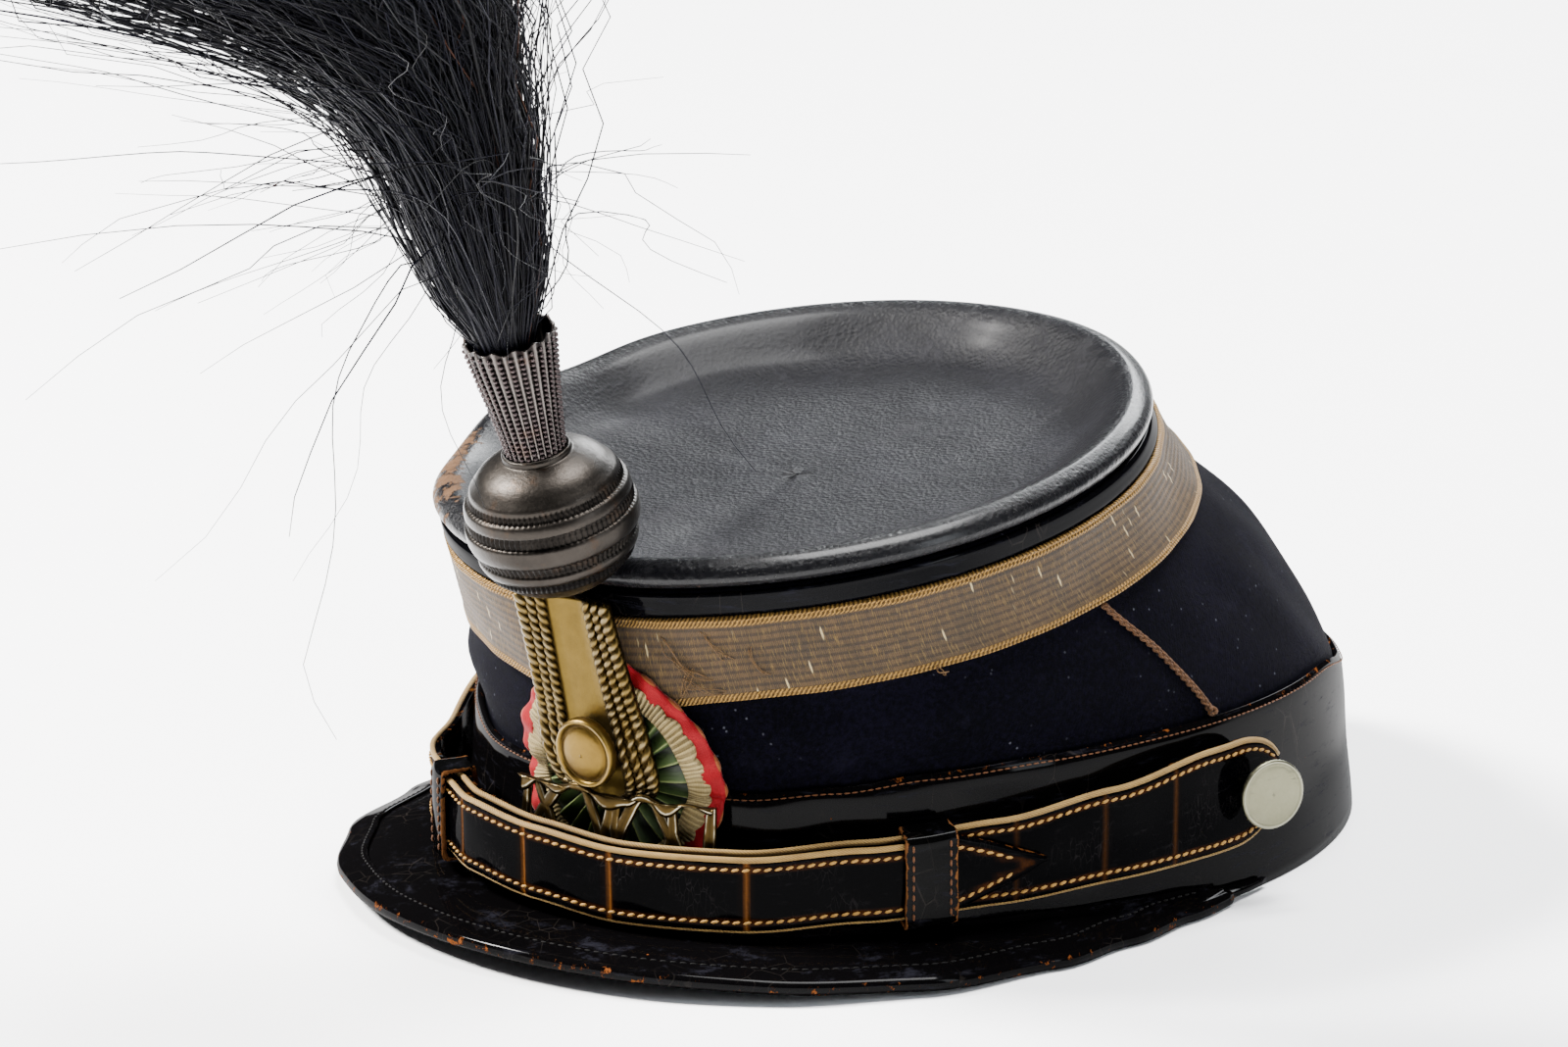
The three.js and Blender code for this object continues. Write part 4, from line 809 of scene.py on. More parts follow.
def peak_thickness(angle, share):
    room = peak_top(angle, share) - BINDING_LEATHER - EDGE_CLEAR
    return np.minimum(PEAK_THICK - (PEAK_THICK - PEAK_THIN) * share, room)


peak_angle = np.linspace(-95, 95, 191)[:, None]
peak_share = np.linspace(0, 1, 24)[None, :]
peak_angle_all, peak_share_all = np.broadcast_arrays(peak_angle, peak_share)
peak_upper = peak_point(peak_angle_all, peak_share_all, 0.0)
peak_lower = peak_point(peak_angle_all, peak_share_all, peak_thickness(peak_angle_all, peak_share_all))
peak_uv = around_uv(peak_angle_all, peak_share_all * 27)
peak = shell("peak_leather", peak_upper, peak_lower, patent_leather("peak_patent"), peak_uv, False,
             {"wear": smooth(peak_share_all, 0.9, 1)})
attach(peak, "root")
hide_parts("peak")

# The binding's section goes from its inner edge above, round the peak's edge, to its inner edge below.
binding_angle = np.linspace(-87.5, 87.5, 211)
binding_reach = peak_reach(binding_angle)
binding_start = 1 - np.minimum(BINDING_WIDTH, binding_reach * 0.7) / binding_reach


def binding_section(thick):
    rows = []
    for share in (0.0, 0.06, 0.3, 0.6, 0.9):
        at = binding_start + (1 - binding_start) * share
        rows.append(peak_point(binding_angle, at, -0.12 - thick * (0.4 if share == 0 else 1)))
    top = peak_point(binding_angle, np.ones_like(binding_angle), 0.0)
    thickness = peak_thickness(binding_angle, np.ones_like(binding_angle))
    normal = band_normal(binding_angle)
    for turn in (60, 30, 0, -30, -60):
        half = thickness / 2 + 0.15
        radius = half + thick
        out = 0.25 + (thick + 0.3) * math.cos(math.radians(turn))
        point = top + normal * out
        point[:, 2] = top[:, 2] - thickness / 2 + radius * math.sin(math.radians(turn))
        rows.append(point)
    for share in (0.9, 0.5, 0.0):
        at = binding_start + (1 - binding_start) * share
        rows.append(peak_point(binding_angle, at, peak_thickness(binding_angle, at) + 0.12 + thick))
    return np.maximum(np.stack(rows, 1), [-1e9, -1e9, 0.05])


binding_outer = binding_section(BINDING_LEATHER - 0.05)
binding_inner = binding_section(0.03)
binding_wear = np.array([0.9, 0.3, 0, 0, 0.3, 0.8, 1, 1, 1, 0.8, 0.3, 0, 0])[None, :]
binding_uv = around_uv(binding_angle[:, None], np.linspace(0, 13, 13)[None, :])
binding = shell("peak_binding_leather", binding_outer, binding_inner, patent_leather("binding_patent"),
                binding_uv, False, {"wear": binding_wear})
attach(binding, "root")
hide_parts("peak_binding")

black_thread = thread_material("black_thread", (14, 12, 11), (5, 4, 4), 0.2)
binding_line = peak_point(binding_angle, binding_start + (1 - binding_start) * 0.22, -0.8)
binding_stitches = run_of_stitches("peak_binding_stitches", binding_line[6:-6],
                                   np.broadcast_to([0.0, 0.0, 1.0], binding_line[6:-6].shape),
                                   black_thread, 1.9, 1.4, 0.2)
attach(binding_stitches, "root")

# Leather top: a sunken dish of grained black leather with a rolled rim, pressed in and torn in front,
# and the narrow varnished collar sewn round the wall under the roll.
DISH_DEPTH = 9.5
DISH_DOME = 1.2
TOP_LEATHER = 1.8
PLUME_LEAN = 17.0
BALL_DIAMETER = 33.0
BALL_HEIGHT = 30.6
TRIM_ANGLE = 4.5  # where the middle of the front trimmings stands, towards the left
ball_middle = tilted_ring(np.array(TRIM_ANGLE), CROWN_HEIGHT, TOP_FORWARD, TOP_LENGTH / 2, TOP_WIDTH / 2,
                          TOP_TILT) + [2.2, -7.9, 9.6]
plume_line = np.array([0.0, -math.sin(math.radians(PLUME_LEAN)), math.cos(math.radians(PLUME_LEAN))])
half_top = TOP_WIDTH / 2
DISH_ROUND = 20.0  # from here in, the dish's rings shrink evenly towards their middle
TOP_RINGS = [  # how far in from the crest and how far down, in millimetres
    (half_top * 0.995, DISH_DEPTH + DISH_DOME), (half_top * 0.8, DISH_DEPTH + DISH_DOME * 0.9),
    (half_top * 0.55, DISH_DEPTH + DISH_DOME * 0.5), (half_top * 0.3, DISH_DEPTH - DISH_DOME * 0.4),
    (RIM_ROLL * 2.6, DISH_DEPTH * 0.74), (RIM_ROLL * 1.5, DISH_DEPTH * 0.36),
    (RIM_ROLL * 0.7, DISH_DEPTH * 0.08), (0, 0), (-RIM_ROLL * 0.55, RIM_ROLL * 0.3),
    (-RIM_ROLL * 0.74, RIM_ROLL * 0.68), (-RIM_ROLL * 0.6, RIM_ROLL)]
UNDER_RINGS = [
    (half_top * 0.995, DISH_DEPTH + DISH_DOME + TOP_LEATHER),
    (half_top * 0.6, DISH_DEPTH + DISH_DOME * 0.6 + TOP_LEATHER),
    (half_top * 0.3, DISH_DEPTH + TOP_LEATHER), (RIM_ROLL * 2.8, DISH_DEPTH * 0.8 + TOP_LEATHER),
    (RIM_ROLL * 1.7, DISH_DEPTH * 0.5 + TOP_LEATHER), (RIM_ROLL * 0.1, RIM_ROLL + TOP_LEATHER * 0.5),
    (-RIM_ROLL * 0.5, RIM_ROLL + 0.15)]


def dish_leather():
    """Grained leather, scuffed grey in the dish and smooth on the roll with painted glints on it, torn to
    brown in front.
    """
    surface = Surface("dish_leather", Coat_IOR=1.4, Coat_Roughness=0.2, Specular_IOR_Level=0.08)
    mm = surface.mm
    grain = mm.cells(1.1) * 0.7 + mm.noise(2.2, 4, 0.7) * 0.6
    broad = mm.noise(0.05, 4, 0.6)
    scuff = mm.noise(0.16, 7, 0.75, (1.0, 0.45, 1)).step(0.55, 0.72)
    painted_glint = mm.cells(2.1).step(0.2, 0.1) * mm.noise(0.12, 3).step(0.46, 0.6)
    roll = surface.attribute("roll")
    edge = surface.attribute("wear")
    torn = (mm.noise(0.22, 6, 0.75) + edge * 0.42).step(0.83, 0.87)
    base = grain.mix(colour(4, 4, 6), colour(26, 26, 31))
    base = (broad.step(0.45, 0.7) * 0.35).mix(base, colour(46, 46, 52))
    base = (scuff * 0.3).mix(base, colour(84, 83, 88))
    base = (roll * 0.8).mix(base, grain.mix(colour(8, 8, 10), colour(18, 18, 22)))
    # Painted glints: pale specks on the roll that stand in for highlights.
    base = (painted_glint * roll * 0.5).mix(base, colour(150, 148, 144))
    base = torn.mix(base, mm.noise(0.8, 4).mix(colour(70, 46, 30), colour(142, 106, 74)))
    rough = 0.44 - roll * 0.2 + scuff * 0.2 + torn * 0.35 + grain * 0.08
    return surface.feed(Base_Color=base, Roughness=rough, Coat_Weight=(1.0 - torn) * (0.06 + roll * 0.24),
                        Normal=surface.bump((broad * 2.4, 0.4), (grain * 0.26 + scuff * 0.14, 0.85),
                                            (torn * -0.35, 0.8)))


def closed_rounds(rows, columns):
    """Faces of a grid that closes round its rows, with a cap on its first and its last column."""
    faces = [grid_faces(rows, columns, True, False)]
    for index in (0, columns - 1):
        ring = np.arange(rows) * columns + index
        faces.append(ring[None, ::(1 if index else -1)])
    return faces


def top_surface(rings, steps):
    """The angles, the line from the middle to the foot of the roll, and the grid that it makes."""
    line = line_through(rings, steps)
    angle = np.arange(0, 360, 1.0)[:, None]
    inward = np.minimum(line[None, :, 0], DISH_ROUND)
    grid = rim_point(angle, inward, line[None, :, 1])
    lean = math.radians(TOP_TILT)
    drop = line[:, 1]
    middle = np.stack([0 * drop, -TOP_FORWARD + drop * math.sin(lean),
                       CROWN_HEIGHT - drop * math.cos(lean)], 1)
    narrow = (half_top - np.maximum(line[:, 0], DISH_ROUND)) / (half_top - DISH_ROUND)
    grid = middle[None] + (grid - middle[None]) * narrow[None, :, None]
    return angle, line, grid


def clear_of_ball(points, margin):
    """Presses a sheet out of the ball's room, as the ball has pressed the roll in."""
    away = points - ball_middle
    along = away @ plume_line
    flat = away - along[..., None] * plume_line
    reach = np.sqrt((np.linalg.norm(flat, axis=-1) / (BALL_DIAMETER / 2 + margin)) ** 2
                    + (along / (BALL_HEIGHT / 2 + margin)) ** 2)
    push = np.where(reach < 1, 1 / np.maximum(reach, 0.4), 1.0)[..., None]
    return ball_middle + away * push


top_angle, top_line, top_grid = top_surface(TOP_RINGS, 4)
_, under_line, under_grid = top_surface(UNDER_RINGS, 2)
top_turn = np.radians(top_angle)
top_inward = top_line[None, :, 0]
ripple = 0.35 * np.sin(top_turn * 9 + top_inward * 0.11) * smooth(top_inward, 4, 14)
ripple = ripple + 0.5 * np.sin(top_turn * 4 + 1.2) * smooth(top_inward, 6, 20)
ripple = ripple * (1 - smooth(top_inward, 18, 34))
top_grid[..., 2] += ripple * 0.6

# A shallow dent in the dish behind the ball.
DENT_PLACE = (2.0, -62.0)
DENT_REACH = 6.5
DENT_DEPTH = 0.7
dent_away = np.linalg.norm(top_grid[..., :2] - np.array(DENT_PLACE), axis=-1)
top_grid[..., 2] -= DENT_DEPTH * np.exp(-((dent_away / DENT_REACH) ** 2)) * smooth(top_inward, 6, 12)
top_grid = clear_of_ball(top_grid, 0.5)
under_grid = clear_of_ball(under_grid, 0.9)
top_ring = np.concatenate([top_grid, under_grid[:, ::-1]], 1)
rows, columns = top_ring.shape[:2]
roll_line = smooth(top_line[:, 0], 7, 0)
top_roll = np.concatenate([np.broadcast_to(roll_line, (rows, len(roll_line))),
                           np.ones((rows, len(under_line)))], 1)
front_share = np.exp(-(turned_from(top_angle, 6) / 26.0) ** 2)
side_share = np.exp(-(turned_from(top_angle, -50) / 30.0) ** 2)
top_wear = (0.2 + 0.8 * np.maximum(front_share * 0.45, side_share)) * roll_line[None, :]
top_wear = np.concatenate([top_wear, np.zeros((rows, len(under_line)))], 1)
crown_top = mesh_piece("crown_top_leather", top_ring, closed_rounds(rows, columns), dish_leather(),
                       top_ring[..., :2], {"roll": top_roll, "wear": top_wear})
outward(crown_top)
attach(crown_top, "root")
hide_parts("crown_top")

collar_angle = np.arange(0, 360, 2.0)[:, None]
collar_out = np.array([0.35, 0.95, 1.2, 1.25, 1.25, 1.2, 1.25, 1.15, 0.9, 0.35])[None, :]
collar_down = np.array([0.1, 0.02, 0.5, 1.3, 2.2, 3.0, 3.8, 4.3, 4.55, 4.5])[None, :]
collar_inner = wall_point(collar_angle, collar_down, 0.3)
collar = shell("top_collar_leather", wall_point(collar_angle, collar_down, collar_out), collar_inner,
               patent_leather("collar_patent", (5, 5, 8)), around_uv(collar_angle, collar_down),
               values={"wear": 0.55 * smooth(collar_down, 3.6, 4.5)})
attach(collar, "root")
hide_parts("top_collar")

# Galloon: a woven metal lace band under the collar, with ribs along it and two braided gold lines at
# each edge, tarnished grey-brown with gold left in flecks; and the braided cords over the side seams.
LACE_TOP = 4.9
GALLOON_WIDTH = 18.6
GALLOON_EDGE = 1.9
RIB_PITCH = 1.62


def galloon_material():
    """Metal lace: ribs along it, flecks of bright gold where the tarnish is rubbed, braided edges."""
    surface = Surface("tarnished_gold_lace", Specular_IOR_Level=0.25)
    mm = surface.mm
    along, down, _ = surface.uv.parts()
    edge = surface.attribute("border")
    warp = along.wave(0.42)
    ribs = down.wave(RIB_PITCH)
    soil = mm.noise(0.09, 5, 0.6)
    streak = surface.uv.noise(0.9, 4, 0.75, (1.0, 0.05, 1)).step(0.36, 0.62)
    fleck = surface.uv.noise(1.0, 4, 0.7, (3.2, 0.28, 1)).step(0.54, 0.64)
    long_fleck = surface.uv.cells(0.5, (1.0, 0.17, 1)).step(0.16, 0.09)
    slant = (along + down).wave(1.05)
    threads = warp * 0.5 + surface.uv.noise(2.4, 3, 0.6, (2.0, 0.3, 1)) * 0.7
    base = (threads * 0.7 + streak * 0.25 - 0.05).mix(colour(22, 14, 7), colour(134, 100, 54))
    base = (soil.step(0.4, 0.7) * 0.45).mix(base, colour(64, 50, 30))
    base = ((1.0 - ribs).step(0.35, 0.95) * 0.7).mix(base, colour(24, 17, 10))
    base = (fleck * 0.36).mix(base, colour(216, 176, 104))
    base = (long_fleck * 0.9).mix(base, colour(240, 216, 160))
    braid = (slant * 0.8 + mm.noise(0.9, 4) * 0.4 - 0.1).mix(colour(70, 46, 18), colour(240, 186, 98))
    base = edge.mix(base, braid)
    metal = edge * 0.25 + fleck * 0.3 + long_fleck * 0.3 + 0.1
    height = warp * 0.10 + ribs * 0.05 + fleck * 0.05 + long_fleck * 0.12
    bump = surface.bump((height, 0.8), (slant * edge * 0.35, 0.9), (mm.noise(3.0, 3) * 0.06, 0.6))
    return surface.feed(Base_Color=base, Metallic=metal, Roughness=0.58 - edge * 0.12 - long_fleck * 0.2,
                        Normal=bump)


lace_angle = np.arange(0, 360, 1.0)[:, None]
lace_share = np.concatenate([np.linspace(0, 0.103, 9), np.linspace(0.115, 0.885, 27),
                             np.linspace(0.897, 1, 9)])[None, :]
lace_down = LACE_TOP + 0.1 + lace_share * (GALLOON_WIDTH - 0.2)
from_edge = np.minimum(lace_down - LACE_TOP, LACE_TOP + GALLOON_WIDTH - lace_down)
braid_line = np.abs(np.sin(np.clip(from_edge / GALLOON_EDGE, 0, 1) * math.pi * 2)) ** 0.7
in_border = from_edge < GALLOON_EDGE
rib_wave = np.abs(np.sin((lace_down - LACE_TOP) / RIB_PITCH * math.pi)) ** 0.6
lace_turn = np.radians(lace_angle)
lace_out = 0.62 + np.where(in_border, 0.55 + 0.5 * braid_line, 0.75 + 0.2 * rib_wave)
lace_soft = 0.14 * np.sin(lace_turn * 13 + lace_down * 0.2) + 0.1 * np.sin(lace_turn * 29 - lace_down * 0.3)
lace_out = lace_out + lace_soft
lace_out[:, [0, -1]] = 0.75
lace_back = wall_point(lace_angle, lace_down, 0.4)
galloon = shell("galloon_lace", wall_point(lace_angle, lace_down, lace_out), lace_back, galloon_material(),
                around_uv(lace_angle, lace_down), values={"border": in_border})
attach(galloon, "root")
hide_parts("galloon")

gold_thread = thread_material("gold_thread", (168, 124, 66), (84, 56, 24), 0.7)
loose = np.random.default_rng(11)
LOOSE_THREADS = [
    # angle, down, run across in degrees, run down in millimetres, how far it stands out
    (-7, 14.5, 5, 3, 2.2), (-8, 17.5, 6, 4, 2.8), (-6.5, 19, 4, 4, 3.2), (-9, 20.5, 5, 2.5, 2.6),
    (-5.5, 16, 3.5, 6, 3.0), (19, 9, 4, 8, 1.5), (20, 12, 5, 6, 1.9), (23, 15, -3, 6, 1.6),
    (26, 8, 3, 6, 1.0), (21, 18, 6, 3, 2.2), (33, 12, 1, 6, 0.7), (58, 23, 0.6, 1.6, 1.3)]
parts = []
for angle, down, across, drop, stand in LOOSE_THREADS:
    for strand in range(3):
        share = np.linspace(0, 1, 14)
        bend = loose.uniform(-1, 1, 4)
        turn = angle + across * share + bend[0] * np.sin(share * 4) * 0.8 + bend[3] * 0.6
        run = down + drop * share + bend[1] * np.sin(share * 5 + 1) * 0.9
        rise = 1.5 + stand * np.sin(math.pi * share) * (0.6 + 0.4 * bend[2] ** 2)
        parts.append(tube(wall_point(turn, run, rise), 0.09, 5))
loose_threads = merged("galloon_loose_threads", parts, gold_thread)
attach(loose_threads, "root")


def cord_material():
    """Dull brown wool cord, with its twist in relief, a painted highlight on the crests of its strands and
    painted shade in the grooves.
    """
    surface = Surface("seam_cord_wool", Sheen_Weight=0.03, Specular_IOR_Level=0.15)
    along, across, _ = surface.uv.parts()
    twist = (along + across * 1.6).wave(0.62)
    wear = surface.mm.noise(0.5, 4)
    # The twist's crests are painted light and its grooves painted dark: painted highlight and painted
    # shade.
    base = (twist * 0.7 + wear * 0.4 - 0.1).mix(colour(34, 22, 14), colour(176, 122, 78))
    return surface.feed(Base_Color=base, Roughness=wear * 0.2 + 0.6,
                        Normal=surface.bump((twist * 0.15, 0.7)))


SEAM_ANGLE = 88.0
SEAM_SLANT = 1.0  # degrees that the seam leans back on its way down
PLAIT = 3.6  # millimetres for one strand to cross over and back
seam_wool = cord_material()
for side, side_name in ((1, "left"), (-1, "right")):
    start = LACE_TOP + GALLOON_WIDTH + 0.3
    foot_angle = np.array(side * (SEAM_ANGLE + SEAM_SLANT / 2))
    finish_down = float(wall_down(foot_angle, band_height(foot_angle))) - 0.4
    run = np.arange(start, finish_down, 0.3)
    share = (run - start) / (finish_down - start)
    parts = []
    for strand in range(4):
        beat = run / PLAIT * 2 * math.pi + strand * math.pi / 2
        weave = 0.32 * np.sin(beat)
        rise = 0.75 + 0.22 * np.cos(beat * 2)
        aside = weave + (0.36 if strand % 2 else -0.36)
        turn = side * (SEAM_ANGLE + SEAM_SLANT * share) + aside / MEAN_RADIUS * 180 / math.pi
        parts.append(tube(wall_point(turn, run, rise), 0.27, 5))
    knot = np.linspace(0, 2 * math.pi, 14)
    knot_angle = side * (SEAM_ANGLE + SEAM_SLANT) + 0.55 * np.sin(knot)
    knot_down = finish_down - 0.4 + 0.7 * np.cos(knot)
    parts.append(tube(wall_point(knot_angle, knot_down, 1.1 + 0.3 * np.sin(knot * 2)), 0.4, 7))
    seam_cord = merged(f"seam_cord_{side_name}_braid", parts, seam_wool)
    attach(seam_cord, "root")
    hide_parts(f"seam_cord_{side_name}")

# Cockade: a rosette of pleated ribbon sewn to the cloth in front. Red outside with a gold edge thread,
# then a ring of cream lace in scallops, and a heart of green satin in sharp pleats.
COCKADE_HEIGHT = 34.5
COCKADE_ACROSS = math.radians(1.5) * HEAD_WIDTH / 2
TRIM_OUT = 2.4  # from the cloth's face to where the front trimmings lie
RING_RADIUS = 22
HEART_RADIUS = 10  # millimetres, about the middle of its pleats
RING_FOLDS = 24
LACE_SCALLOPS = 16
HEART_PLEATS = 28


def trim_point(across, height, out):
    """A point of the face under the front trimmings."""
    across, height, out = np.broadcast_arrays(np.asarray(across, float), height, out)
    reach = (HEAD_WIDTH / 2) * math.cos(math.radians(TRIM_ANGLE))
    angle = TRIM_ANGLE + np.degrees(across / reach)
    return wall_point(angle, wall_down(angle, height), TRIM_OUT + out)


def rosette(name, radii, height_at, material, steps, edge_wave):
    """A pleated ring of the cockade: its front follows height_at, its outer edge edge_wave."""
    turn = whole_turn(steps)[:, None]
    radius = np.asarray(radii)[None, :]
    radius = radius + edge_wave(turn) * ((radius - radii[0]) / (radii[-1] - radii[0]))
    rise = height_at(turn, radius)
    across = COCKADE_ACROSS + radius * np.sin(turn)
    height = COCKADE_HEIGHT + radius * np.cos(turn)
    front = trim_point(across, height, rise)
    behind = trim_point(across, height, np.minimum(rise - 0.25, 0.0))
    return shell(name, front, behind, material, flat_uv(turn * RING_RADIUS, radius))


def ribbon_material(name, light, dark, deep):
    """A woven ribbon: its surface and what a finish needs, which feeds them to the shader."""
    surface = Surface(name, Sheen_Weight=0.05, Sheen_Roughness=0.4, Specular_IOR_Level=0.15)
    around, radius, _ = surface.uv.parts()
    weave = around.wave(0.34) * 0.5 + radius.wave(0.5) * 0.5
    soil = surface.mm.noise(0.35, 5, 0.65)
    base = (soil * 0.8 + weave * 0.3 - 0.1).mix(colour(*dark), colour(*light))
    fleck = surface.mm.noise(2.2, 4, 0.7).step(0.6, 0.75) * 0.35
    base = fleck.mix(base, colour(*deep))
    return surface, base, weave, soil, radius


surface, base, weave, soil, radius = ribbon_material("red_ribbon", (214, 12, 36), (158, 6, 20), (92, 4, 12))
edge_line = radius.step(24.1, 24.3) * 0.5
base = edge_line.mix(base, colour(206, 150, 78))
red_ribbon = surface.feed(Base_Color=base, Roughness=soil * 0.25 + 0.55,
                          Normal=surface.bump((weave * 0.07, 0.6), (soil * 0.3, 0.4)))


def ring_fold(turn):
    return np.sin(turn * RING_FOLDS + 0.5 * np.sin(turn * 5))


def ring_height(turn, radius):
    folds = 0.42 * ring_fold(turn) * smooth(radius, 19.5, 23.5)
    curl = -0.5 * smooth(radius, 23.4, 24.6)
    return 1.15 + folds + curl + 0.25 * np.sin(turn * 9 + 1)


cockade_ring = rosette("cockade_ring_red", np.linspace(20.3, 24.45, 9), ring_height, red_ribbon, 480,
                       lambda turn: 0.28 * ring_fold(turn) - 0.25)
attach(cockade_ring, "root")
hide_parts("cockade_ring")

surface, base, weave, soil, _ = ribbon_material("cream_lace", (255, 236, 174), (206, 172, 104),
                                               (104, 72, 34))
around = surface.uv.parts()[0]
fan = around.wave(1.05)
# The dark lines between the fans are painted shade in the valleys of the scallops.
base = ((1.0 - fan) * 0.6).mix(base, colour(84, 62, 34))
cream_lace = surface.feed(Base_Color=base, Roughness=soil * 0.2 + 0.6,
                          Normal=surface.bump((fan * 0.35, 0.9), (weave * 0.12, 0.7)))


def lace_height(turn, radius):
    scallop = np.sin(turn * LACE_SCALLOPS)
    threads = 0.22 * np.abs(np.sin(turn * LACE_SCALLOPS * 4)) * smooth(radius, 17, 18)
    return 1.75 + 0.62 * scallop * smooth(radius, 17.0, 19.5) + threads - 0.35 * smooth(radius, 20.4, 21.4)


cockade_lace = rosette("cockade_lace_cream", np.linspace(17.0, 21.1, 9), lace_height, cream_lace, 640,
                       lambda turn: 0.95 * np.abs(np.cos(turn * LACE_SCALLOPS)) ** 0.7 - 0.5)
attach(cockade_lace, "root")
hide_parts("cockade_lace")


def satin_material():
    """Green satin, with painted highlights on its fold crests, painted shade in the valleys between the
    folds, and dark towards the middle.
    """
    surface = Surface("green_satin", Sheen_Weight=0.04, Sheen_Roughness=0.3, Specular_IOR_Level=0.3)
    around, radius, _ = surface.uv.parts()
    fold = surface.attribute("fold")
    threads = surface.uv.noise(1.2, 4, 0.6, (2.6, 0.3, 1))
    # The fold crests are painted light and the valleys painted dark: painted highlight and painted shade.
    base = (fold * 0.9 + threads * 0.5 - 0.25).mix(colour(4, 10, 4), colour(100, 128, 66))
    base = (fold.step(0.78, 0.98) * 0.7).mix(base, colour(168, 180, 104))
    base = (radius.step(6.0, 2.0) * 0.5).mix(base, colour(10, 16, 8))
    return surface.feed(Base_Color=base, Roughness=threads * 0.2 + 0.36,
                        Normal=surface.bump((threads * 0.12, 0.7)))


heart_turn = whole_turn(HEART_PLEATS * 20)[:, None]
heart_radius = np.linspace(3.0, 17.2, 12)[None, :]
saw = (heart_turn * HEART_PLEATS / (2 * math.pi) + 0.12 * np.sin(heart_turn * 6)) % 1.0
fold_shape = np.where(saw < 0.78, (saw / 0.78) ** 1.4, 1 - (saw - 0.78) / 0.22)
fold_depth = 0.15 + 1.35 * smooth(heart_radius, 2.5, 11) * (1 - 0.25 * smooth(heart_radius, 15, 17.2))
heart_rise = 0.35 + fold_shape * fold_depth
heart_across = COCKADE_ACROSS + heart_radius * np.sin(heart_turn)
heart_height = COCKADE_HEIGHT + heart_radius * np.cos(heart_turn)
heart_front = trim_point(heart_across, heart_height, heart_rise)
heart_back = trim_point(heart_across, heart_height, 0.0)
cockade_heart = shell("cockade_heart_green", heart_front, heart_back, satin_material(),
                      flat_uv(heart_turn * HEART_RADIUS, heart_radius), values={"fold": fold_shape})
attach(cockade_heart, "root")
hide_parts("cockade_heart")

# Loop plate: a stamped brass plate over the cockade, a smooth field between three twisted cords on
# each side, with an oval domed boss near its foot. The gallery before it is a pierced brass strip.
PLATE_LENGTH = 41.0
PLATE_HALF = 14.0
PLATE_OUT = 2.4
CORD_PITCH = 2.7
PLATE_SLANT = 5.0  # how far the plate's middle wanders aside from its top to its foot
plate_top = float(rim_point(np.array(TRIM_ANGLE), 0.0, RIM_ROLL)[2]) - 1.8


def plate_middle(share):
    return PLATE_SLANT * (share - 0.45)


def plate_spread(share):
    """How wide the plate is at a share of its length: round at its foot, a little narrower there."""
    rounding = np.clip((1 - share) * PLATE_LENGTH / (PLATE_HALF * 0.7), 0, 1)
    return (1 - 0.12 * share) * (0.45 + 0.55 * np.sqrt(1 - (1 - rounding) ** 2))


def plate_point(across, share, lift):
    """A point of the plate by its place across, its share of the length and its height over the seat."""
    across, share, lift = np.broadcast_arrays(across, share, lift)
    return trim_point(plate_middle(share) + across * plate_spread(share), plate_top - share * PLATE_LENGTH,
                      PLATE_OUT + lift)


def old_brass(name, light=(164, 136, 68), mid=(98, 78, 34), dark=(26, 19, 8), silver=0.3):
    """Old brass: darkened in its hollows, rubbed bright and a little silvery on what stands out."""
    surface = Surface(name)
    mm = surface.mm
    raised = surface.attribute("raised")
    cloud = mm.noise(0.22, 5, 0.65)
    fine = mm.noise(1.8, 5, 0.7)
    specks = fine.step(0.62, 0.72) * cloud.step(0.42, 0.6)
    base = (raised * 0.9 + cloud * 0.7 - 0.5).mix(colour(*mid), colour(*light))
    base = (raised.step(0.3, 0.0) * 0.85).mix(base, colour(*dark))
    base = (specks * 0.6).mix(base, colour(*dark))
    bright = raised.step(0.86, 1.0) * mm.noise(0.3, 3).step(0.36, 0.6) * silver
    base = bright.mix(base, colour(236, 226, 196))
    rough = 0.3 + specks * 0.25 + fine * 0.14 - bright * 0.12 + raised.step(0.3, 0.0) * 0.2
    return surface.feed(Base_Color=base, Metallic=1.0 - specks * 0.4, Roughness=rough,
                        Normal=surface.bump((cloud * 0.3, 0.5), (fine * 0.05, 0.6)))


plate_brass = old_brass("plate_brass")
share = np.linspace(0, 1, 60)[:, None]
field = np.linspace(-1, 1, 45)[None, :]
field_across = field * (PLATE_HALF - 0.3)
field_lift = 0.95 + 0.3 * smooth(np.abs(field_across), 5.4, 5.9) - 0.5 * smooth(np.abs(field), 0.965, 1)
field_lift = field_lift - 0.12 * smooth(np.abs(field_across), 5.0, 3.6)
plate_front = plate_point(field_across, share, field_lift)
plate_back = plate_point(field_across, share, 0.0)
field_raised = 0.55 - 0.5 * smooth(np.abs(field_across), 5.2, 5.7)
plate = shell("loop_plate_field", plate_front, plate_back, plate_brass,
              flat_uv(share * PLATE_LENGTH, field_across), False, {"raised": field_raised})
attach(plate, "root")
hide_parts("loop_plate")

